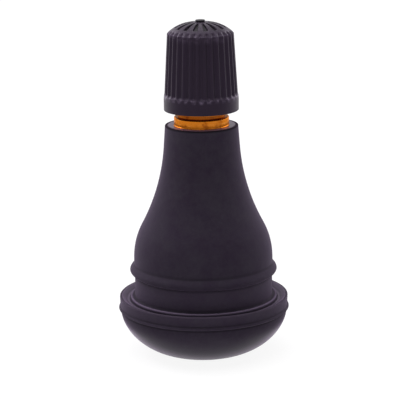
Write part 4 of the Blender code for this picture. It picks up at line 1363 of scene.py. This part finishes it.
@dataclass
class ValveCore:
    """The screw-in core: a threaded plug with a blade for the core key, a barrel that swivels on it and
    carries the gasket and the spring, and the pin with the cup and washer that close the barrel's
    mouth."""

    brass: bpy.types.Material
    plastic: bpy.types.Material             # of the gasket
    steel: bpy.types.Material
    rubber: bpy.types.Material
    thread: Thread
    running_gap: float = 0.08 * MM
    fine: float = 0.04 * MM
    small_round: float = 0.1 * MM
    columns: int = 72
    gap: float = 0.3 * MM
    rod_gap: float = 0.4 * MM               # on the barrel and the pin, which are long
    plug_lead: float = 0.1 * MM
    plug_bottom: float = bottom_of("core_plug")
    plug_top: float = top_of("core_plug")
    blade_height: float = 1.35 * MM
    blade_thickness: float = 1.7 * MM
    blade_radius: float = 2.22 * MM         # clear of the stem's thread
    crown_thickness: float = 0.75 * MM
    plug_bore_radius: float = 1.45 * MM
    plug_lip_radius: float = 1.28 * MM
    plug_lip_height: float = 0.4 * MM
    pin_hole_radius: float = 0.66 * MM
    barrel_bottom: float = bottom_of("core_barrel")
    barrel_top: float = 36.25 * MM
    swivel_top: float = top_of("core_barrel")
    swivel_radius: float = 1.2 * MM
    swivel_lip_radius: float = 1.34 * MM
    swivel_lip_height: float = 0.3 * MM
    head_radius: float = 2.17 * MM
    head_height: float = 0.45 * MM
    waist_radius: float = 1.452 * MM
    waist_bottom: float = 33.6 * MM
    barrel_radius: float = 1.682 * MM
    mouth_radius: float = 0.85 * MM
    chamber_radius: float = 1.152 * MM
    chamber_floor: float = 1.2 * MM
    chamber_roof: float = 0.45 * MM
    gasket_bottom: float = bottom_of("core_gasket")
    gasket_top: float = top_of("core_gasket")
    gasket_crown: float = 0.15 * MM
    gasket_top_radius: float = 2.37 * MM
    gasket_bottom_radius: float = 1.973 * MM
    gasket_inner_radius: float = 1.502 * MM
    pin_bottom: float = bottom_of("core_pin")
    pin_top: float = top_of("core_pin")
    pin_radius: float = 0.5 * MM
    pin_columns: int = 48
    pin_crown_radius: float = 0.41 * MM
    pin_crown: float = 0.06 * MM            # how far the head's top is domed
    pin_crown_round: float = 0.2 * MM
    pin_head_radius: float = 0.68 * MM
    pin_head_height: float = 0.4 * MM
    pin_head_land: float = 0.24 * MM        # its straight side
    pin_collar_radius: float = 1.052 * MM
    pin_collar_top: float = 35.65 * MM
    pin_collar_bottom: float = 35.25 * MM
    rivet_radius: float = 0.78 * MM
    rivet_height: float = 0.35 * MM
    rivet_taper: float = 0.16 * MM
    spring_radius: float = 0.842 * MM
    wire_radius: float = 0.13 * MM
    wire_columns: int = 14
    spring_turns: int = 7
    spring_steps: int = 30                  # for each turn
    cup_bottom: float = bottom_of("seal_cup")
    cup_top: float = top_of("seal_cup")
    cup_radius: float = 1.452 * MM
    cup_wall: float = 0.16 * MM
    cup_floor: float = 0.65 * MM
    seat_gap: float = 0.05 * MM

    def build_plug(self) -> None:
        """Makes the plug's threaded bush.

        Formula: a turned ring whose outside takes the lesser of its own radius and the thread's.
        """
        shoulder = self.plug_top - self.blade_height
        crest = self.thread.crest - self.running_gap
        cut = Thread(crest, self.thread.depth, self.thread.pitch)
        lead = self.plug_lead
        angle = angles(self.columns)
        rows = cut.rows(self.plug_bottom, shoulder)[::-1]
        bar = np.interp(rows, [self.plug_bottom, self.plug_bottom + lead, shoulder - lead, shoulder],
                        [crest - lead, crest, crest, crest - lead])
        lip_top = self.plug_bottom + self.plug_lip_height
        inside = spaced(rounded([
            Corner(self.plug_lip_radius, self.plug_bottom), Corner(self.plug_lip_radius, lip_top),
            Corner(self.plug_bore_radius, lip_top), Corner(self.plug_bore_radius, shoulder),
        ], Ends.POLES), self.gap, Ends.POLES)
        radius = np.vstack([cut.outside(bar, rows, angle),
                            np.broadcast_to(inside[:, :1], (len(inside), self.columns))])
        height = np.concatenate([rows, inside[:, 1]])
        mesh = grid_mesh("plug_screw", round_grid(radius, height, angle), Ends.RING)
        Piece("plug_screw", "core_plug", Body.PLUG, Slot.CORE_BRASS).placed(mesh, self.brass)

    def build_blade(self) -> None:
        """Makes the blade that bridges the plug's bore on two legs, with the pin's hole through it.

        Formula: at angle a the blade reaches out to the lesser of its round ends and half its thickness
        over |sin a|. Where that is past the bore there is a leg down to the bush, and elsewhere only the
        bridge. Columns fall on the angle where the legs begin, so that their sides are true.
        """
        half = 0.5 * self.blade_thickness
        foot = self.plug_top - self.blade_height - self.seat_gap
        under = self.plug_top - self.crown_thickness
        side = math.asin(half / self.plug_bore_radius)
        end = math.asin(half / self.blade_radius)
        over_legs = np.concatenate([np.linspace(0.0, end, 8, endpoint=False), np.linspace(end, side, 7)])
        quarter = np.concatenate([over_legs, np.linspace(side, 0.5 * math.pi, 14, endpoint=False)])
        down = np.arange(len(quarter)) < len(over_legs)
        mirrored = math.pi - quarter[::-1]
        turn = np.concatenate([quarter, [0.5 * math.pi], mirrored])[:-1]
        legs = np.concatenate([down, [False], down[::-1]])[:-1]
        angle = np.concatenate([turn, turn + math.pi])
        legs = np.concatenate([legs, legs])
        reach = np.minimum(self.blade_radius, half / np.maximum(np.abs(np.sin(angle)), 1e-9))
        inner = np.minimum(self.plug_bore_radius, reach)
        low = np.where(legs, foot, under)
        hole = np.full(len(angle), self.pin_hole_radius)
        top, deck = np.full(len(angle), self.plug_top), np.full(len(angle), under)
        edge = np.full(len(angle), self.fine)
        radius = np.vstack([hole + edge, reach - edge, reach, reach, inner, inner, hole, hole])
        height = np.vstack([top, top, top - edge, low, low, deck, deck, top - edge])
        mesh = grid_mesh("plug_blade", round_grid(radius, height, angle), Ends.RING)
        Piece("plug_blade", "core_plug", Body.PLUG, Slot.CORE_BRASS).placed(mesh, self.brass)

    def build_barrel(self) -> None:
        """Makes the barrel: swivel neck, head, waist for the gasket, and the spring's chamber."""
        lip_bottom = self.swivel_top - self.swivel_lip_height
        head_bottom = self.barrel_top - self.head_height
        outline = rounded([
            Corner(self.mouth_radius, self.swivel_top),
            Corner(self.swivel_lip_radius, self.swivel_top, self.fine),
            Corner(self.swivel_lip_radius, lip_bottom, self.fine),
            Corner(self.swivel_radius, lip_bottom),
            Corner(self.swivel_radius, self.barrel_top),
            Corner(self.head_radius, self.barrel_top, self.fine),
            Corner(self.head_radius, head_bottom, self.fine),
            Corner(self.waist_radius, head_bottom),
            Corner(self.waist_radius, self.waist_bottom),
            Corner(self.barrel_radius, self.waist_bottom, self.fine),
            Corner(self.barrel_radius, self.barrel_bottom + 0.5 * self.chamber_floor, self.fine),
            Corner(self.cup_radius, self.barrel_bottom, self.fine),
            Corner(self.mouth_radius, self.barrel_bottom),
            Corner(self.mouth_radius, self.barrel_bottom + self.chamber_floor),
            Corner(self.chamber_radius, self.barrel_bottom + self.chamber_floor),
            Corner(self.chamber_radius, self.barrel_top - self.chamber_roof),
            Corner(self.mouth_radius, self.barrel_top - self.chamber_roof),
        ])
        piece = Piece("barrel_turning", "core_barrel", Body.CORE, Slot.CORE_BRASS)
        piece.turned(spaced(outline, self.rod_gap), self.columns, Ends.RING, self.brass)

    def build_gasket(self) -> None:
        """Makes the tapered gasket that seats in the stem's cone."""
        outline = rounded([
            Corner(self.gasket_inner_radius, self.gasket_top, self.fine),
            Corner(self.gasket_top_radius, self.gasket_top, self.fine),
            Corner(self.gasket_top_radius, self.gasket_top - self.gasket_crown, self.fine),
            Corner(self.gasket_bottom_radius, self.gasket_bottom, self.fine),
            Corner(self.gasket_inner_radius, self.gasket_bottom, self.fine),
        ])
        piece = Piece("gasket_ring", "core_gasket", Body.CORE, Slot.GASKET_PLASTIC)
        piece.turned(spaced(outline, self.gap), self.columns, Ends.RING, self.plastic)

    def build_pin(self) -> None:
        """Makes the pin: a domed head, the rod, the collar over the spring and the riveted end."""
        head_bottom = self.pin_top - self.pin_head_height
        rivet_top = self.pin_bottom + self.rivet_height
        outline = rounded([
            Corner(0.0, self.pin_top),
            Corner(self.pin_crown_radius, self.pin_top - self.pin_crown, self.pin_crown_round),
            Corner(self.pin_head_radius, head_bottom + self.pin_head_land, self.small_round),
            Corner(self.pin_head_radius, head_bottom, self.fine),
            Corner(self.pin_radius, head_bottom, self.fine),
            Corner(self.pin_radius, self.pin_collar_top),
            Corner(self.pin_collar_radius, self.pin_collar_top, self.fine),
            Corner(self.pin_collar_radius, self.pin_collar_bottom, self.fine),
            Corner(self.pin_radius, self.pin_collar_bottom),
            Corner(self.pin_radius, rivet_top),
            Corner(self.rivet_radius, rivet_top, self.fine),
            Corner(self.rivet_radius - self.rivet_taper, self.pin_bottom, self.small_round),
            Corner(0.0, self.pin_bottom),
        ], Ends.POLES)
        piece = Piece("pin_rod", "core_pin", Body.PIN, Slot.CORE_BRASS)
        piece.turned(spaced(outline, self.rod_gap, Ends.POLES), self.pin_columns, Ends.POLES, self.brass)

    def build_spring(self) -> None:
        """Makes the coil spring between the barrel's floor and the pin's collar.

        Formula: a circle of the wire's radius carried along a helix. The helix climbs evenly for its
        turns, and the circle lies in the plane of the helix's outward direction and that direction crossed
        with its tangent.
        """
        low = self.barrel_bottom + self.chamber_floor + self.seat_gap + self.wire_radius
        high = self.pin_collar_bottom - self.seat_gap - self.wire_radius
        turn = np.linspace(0.0, math.tau * self.spring_turns, self.spring_steps * self.spring_turns + 1)
        climb = (high - low) / turn[-1]
        outward = np.column_stack([np.cos(turn), np.sin(turn), np.zeros(len(turn))])
        centre = self.spring_radius * outward
        centre[:, 2] = low + climb * turn
        tangent = np.column_stack([-self.spring_radius * np.sin(turn), self.spring_radius * np.cos(turn),
                                   np.full(len(turn), climb)])
        tangent /= np.linalg.norm(tangent, axis=1, keepdims=True)
        across = np.cross(outward, tangent)
        around = angles(self.wire_columns)[None, :, None]
        coil = centre[:, None] + self.wire_radius * (np.cos(around) * outward[:, None]
                                                     + np.sin(around) * across[:, None])
        caps = [np.broadcast_to(centre[end], (1, self.wire_columns, 3)) for end in (0, -1)]
        mesh = grid_mesh("spring_coil", np.vstack([caps[0], coil, caps[1]]), Ends.POLES)
        piece = Piece("spring_coil", "core_spring", Body.CORE, Slot.SPRING_STEEL)
        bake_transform(piece.dress(mesh, self.steel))

    def build_cup(self) -> None:
        """Makes the cup on the pin's lower end and the rubber washer in it."""
        hole = self.pin_radius + self.seat_gap
        inner = self.cup_radius - self.cup_wall
        floor = self.cup_bottom + self.cup_floor
        cup = rounded([
            Corner(inner, self.cup_top, self.fine),
            Corner(self.cup_radius, self.cup_top, self.fine),
            Corner(self.cup_radius, self.cup_bottom + self.cup_wall, self.cup_wall),
            Corner(self.cup_radius - self.cup_wall, self.cup_bottom, self.cup_wall),
            Corner(hole, self.cup_bottom),
            Corner(hole, floor),
            Corner(inner, floor),
        ])
        piece = Piece("cup_pressing", "seal_cup", Body.PIN, Slot.CORE_BRASS)
        piece.turned(spaced(cup, self.gap), self.columns, Ends.RING, self.brass)
        top, bottom, outer = top_of("seal_washer"), bottom_of("seal_washer"), inner - self.seat_gap
        washer = rounded([
            Corner(hole, top, self.fine), Corner(outer, top, self.fine),
            Corner(outer, bottom, self.fine), Corner(hole, bottom, self.fine),
        ])
        piece = Piece("washer_ring", "seal_washer", Body.PIN, Slot.SEAL_RUBBER)
        piece.turned(spaced(washer, self.gap), self.columns, Ends.RING, self.rubber)

    def build(self) -> None:
        """Makes every piece of the core."""
        self.build_plug()
        self.build_blade()
        self.build_barrel()
        self.build_gasket()
        self.build_pin()
        self.build_spring()
        self.build_cup()


@dataclass(frozen=True)
class SoftLight:
    """A square soft light that looks at the middle of the valve."""

    name: str
    place: tuple[float, float, float]
    size: float
    power: float
    tint: str

    def build(self, target: Vector) -> None:
        """Adds the light.

        Args:
            target: the point it looks at.
        """
        lamp = bpy.data.lights.new(self.name, "AREA")
        lamp.shape = "SQUARE"
        lamp.size = self.size
        lamp.energy = self.power
        lamp.color = linear(self.tint)[:3]
        made = bpy.data.objects.new(self.name, lamp)
        made.location = self.place
        made.rotation_euler = (made.location - target).to_track_quat("Z", "Y").to_euler()
        bpy.context.scene.collection.objects.link(made)


@dataclass
class Studio:
    """The photograph's camera, a pale floor, soft lights behind the valve at both sides, a large one above
    it and a small one high on the left."""

    distance: float = 257.3 * MM
    elevation: float = math.radians(13.6)
    roll: float = math.radians(-0.77)
    aim: tuple[float, float, float] = (-0.342 * MM, 0.0, 20.88 * MM)
    focal_px: float = 1919.6
    photo_px: int = 400
    sensor_mm: float = 36.0
    clip: tuple[float, float] = (0.01, 20.0)
    floor_size: float = 6.0
    floor_drop: float = 0.02 * MM
    floor_tint: str = "#F4F4F4"
    white: str = "#FFFFFF"
    floor_glow: float = 0.86        # share of the floor that shows as plain white, the rest keeps the shadow
    floor_white: float = 1.05
    ambient: float = 0.14
    lights: tuple[SoftLight, ...] = (
        SoftLight("back_left", (-0.36, 0.28, 0.16), 0.40, 1.2, "#F3E8FA"),
        SoftLight("back_right", (0.37, 0.26, 0.15), 0.40, 1.3, "#F3E8FA"),
        SoftLight("top", (-0.04, -0.03, 0.50), 0.60, 3.2, "#FFFFFF"),
        SoftLight("key", (-0.30, 0.14, 0.34), 0.14, 0.5, "#F8EEFC"),
    )

    def build_camera(self) -> None:
        """Sets the camera at the photograph's angle and distance, with depth of field off."""
        back = Vector((0.0, -math.cos(self.elevation), math.sin(self.elevation)))
        lens = bpy.data.cameras.new("photo_camera")
        lens.sensor_width = self.sensor_mm
        lens.lens = self.focal_px / self.photo_px * self.sensor_mm
        lens.clip_start, lens.clip_end = self.clip
        lens.dof.use_dof = False
        camera = bpy.data.objects.new("photo_camera", lens)
        camera.location = Vector(self.aim) + back * self.distance
        camera.rotation_mode = "QUATERNION"
        camera.rotation_quaternion = back.to_track_quat("Z", "Y") @ Quaternion((0.0, 0.0, 1.0), self.roll)
        bpy.context.scene.collection.objects.link(camera)
        bpy.context.scene.camera = camera

    def background_share(self, nodes: Nodes) -> bpy.types.NodeSocket:
        """1 for the rays that show the background: from the camera, in gloss and through glass.

        Args:
            nodes: the tree to add to.

        Returns:
            The output that holds the share.
        """
        path = nodes.add("LightPath")
        seen = nodes.add("Math", {
            0: path.outputs["Is Camera Ray"], 1: path.outputs["Is Glossy Ray"]}, operation="MAXIMUM")
        seen = nodes.add("Math", {
            0: seen.outputs[0], 1: path.outputs["Is Transmission Ray"]}, operation="MAXIMUM")
        return seen.outputs[0]

    def build_world(self) -> None:
        """Sets a world that looks white and lights the valve evenly at a lower level."""
        world = bpy.data.worlds.new("studio")
        bpy.context.scene.world = world
        world.use_nodes = True
        nodes = Nodes(world.node_tree)
        share = self.background_share(nodes)
        soft = nodes.add("Background", {"Color": linear(self.white), "Strength": self.ambient})
        white = nodes.add("Background", {"Color": linear(self.white), "Strength": 1.0})
        mixed = nodes.add("MixShader", {0: share, 1: soft.outputs[0], 2: white.outputs[0]})
        nodes.add("OutputWorld", {"Surface": mixed.outputs[0]})

    def build_floor(self) -> None:
        """Lays the floor just under the valve: pale, with the valve's shadow, and white where it is
        seen."""
        half = 0.5 * self.floor_size
        mesh = bpy.data.meshes.new("floor")
        corners = [(-half, -half), (half, -half), (half, half), (-half, half)]
        mesh.from_pydata([(x, y, -self.floor_drop) for x, y in corners], [], [(0, 1, 2, 3)])
        made = bpy.data.materials.new("pale_floor")
        made.use_nodes = True
        nodes = Nodes(made.node_tree)
        share = nodes.add("Math", {
            0: self.background_share(nodes), 1: self.floor_glow}, operation="MULTIPLY")
        matt = nodes.add("BsdfDiffuse", {"Color": linear(self.floor_tint)})
        white = nodes.add("Emission", {"Color": linear(self.white), "Strength": self.floor_white})
        mixed = nodes.add("MixShader", {
            0: share.outputs[0], 1: matt.outputs[0], 2: white.outputs[0]})
        nodes.add("OutputMaterial", {"Surface": mixed.outputs[0]})
        mesh.materials.append(made)
        floor = bpy.data.objects.new("floor", mesh)
        bpy.context.scene.collection.objects.link(floor)

    def build(self) -> None:
        """Makes the camera, the world, the floor and the lights."""
        bpy.context.scene.view_settings.view_transform = "Standard"
        self.build_camera()
        self.build_world()
        self.build_floor()
        for light in self.lights:
            light.build(Vector(self.aim))
        LOG.info("studio: camera, floor and %d soft lights", len(self.lights))


def main() -> None:
    """Builds the studio and the valve, piece by piece."""
    logging.basicConfig(level=logging.INFO, format="%(name)s: %(message)s")
    Studio().build()
    core_brass = TurnedBrass(name="turned_core_brass", yellow="#CFA04E", brown="#A8722C", pale="#E8CB90",
                             roughness=0.26).material()
    seal_rubber = MouldedRubber(name="moulded_nitrile_rubber", black="#141416", bloom="#1E1E21",
                                clouds_mm=1.2).material()
    stem_thread = Thread(crest=3.85 * MM, depth=0.43 * MM, pitch=0.794 * MM)
    core_thread = Thread(crest=2.6 * MM, depth=0.3 * MM, pitch=0.7056 * MM)
    shank = Shank(bottom=bottom_of("stem"))
    parts = (
        RubberBody(MouldedRubber().material(), shank),
        Stem(TurnedBrass().material(), shank, stem_thread, core_thread),
        ValveCap(MouldedPlastic().material(), stem_thread),
        CapSeal(seal_rubber),
        ValveCore(core_brass, GasketPlastic().material(), DrawnSteel().material(), seal_rubber, core_thread),
    )
    for part in parts:
        part.build()


if __name__ == "__main__":
    main()
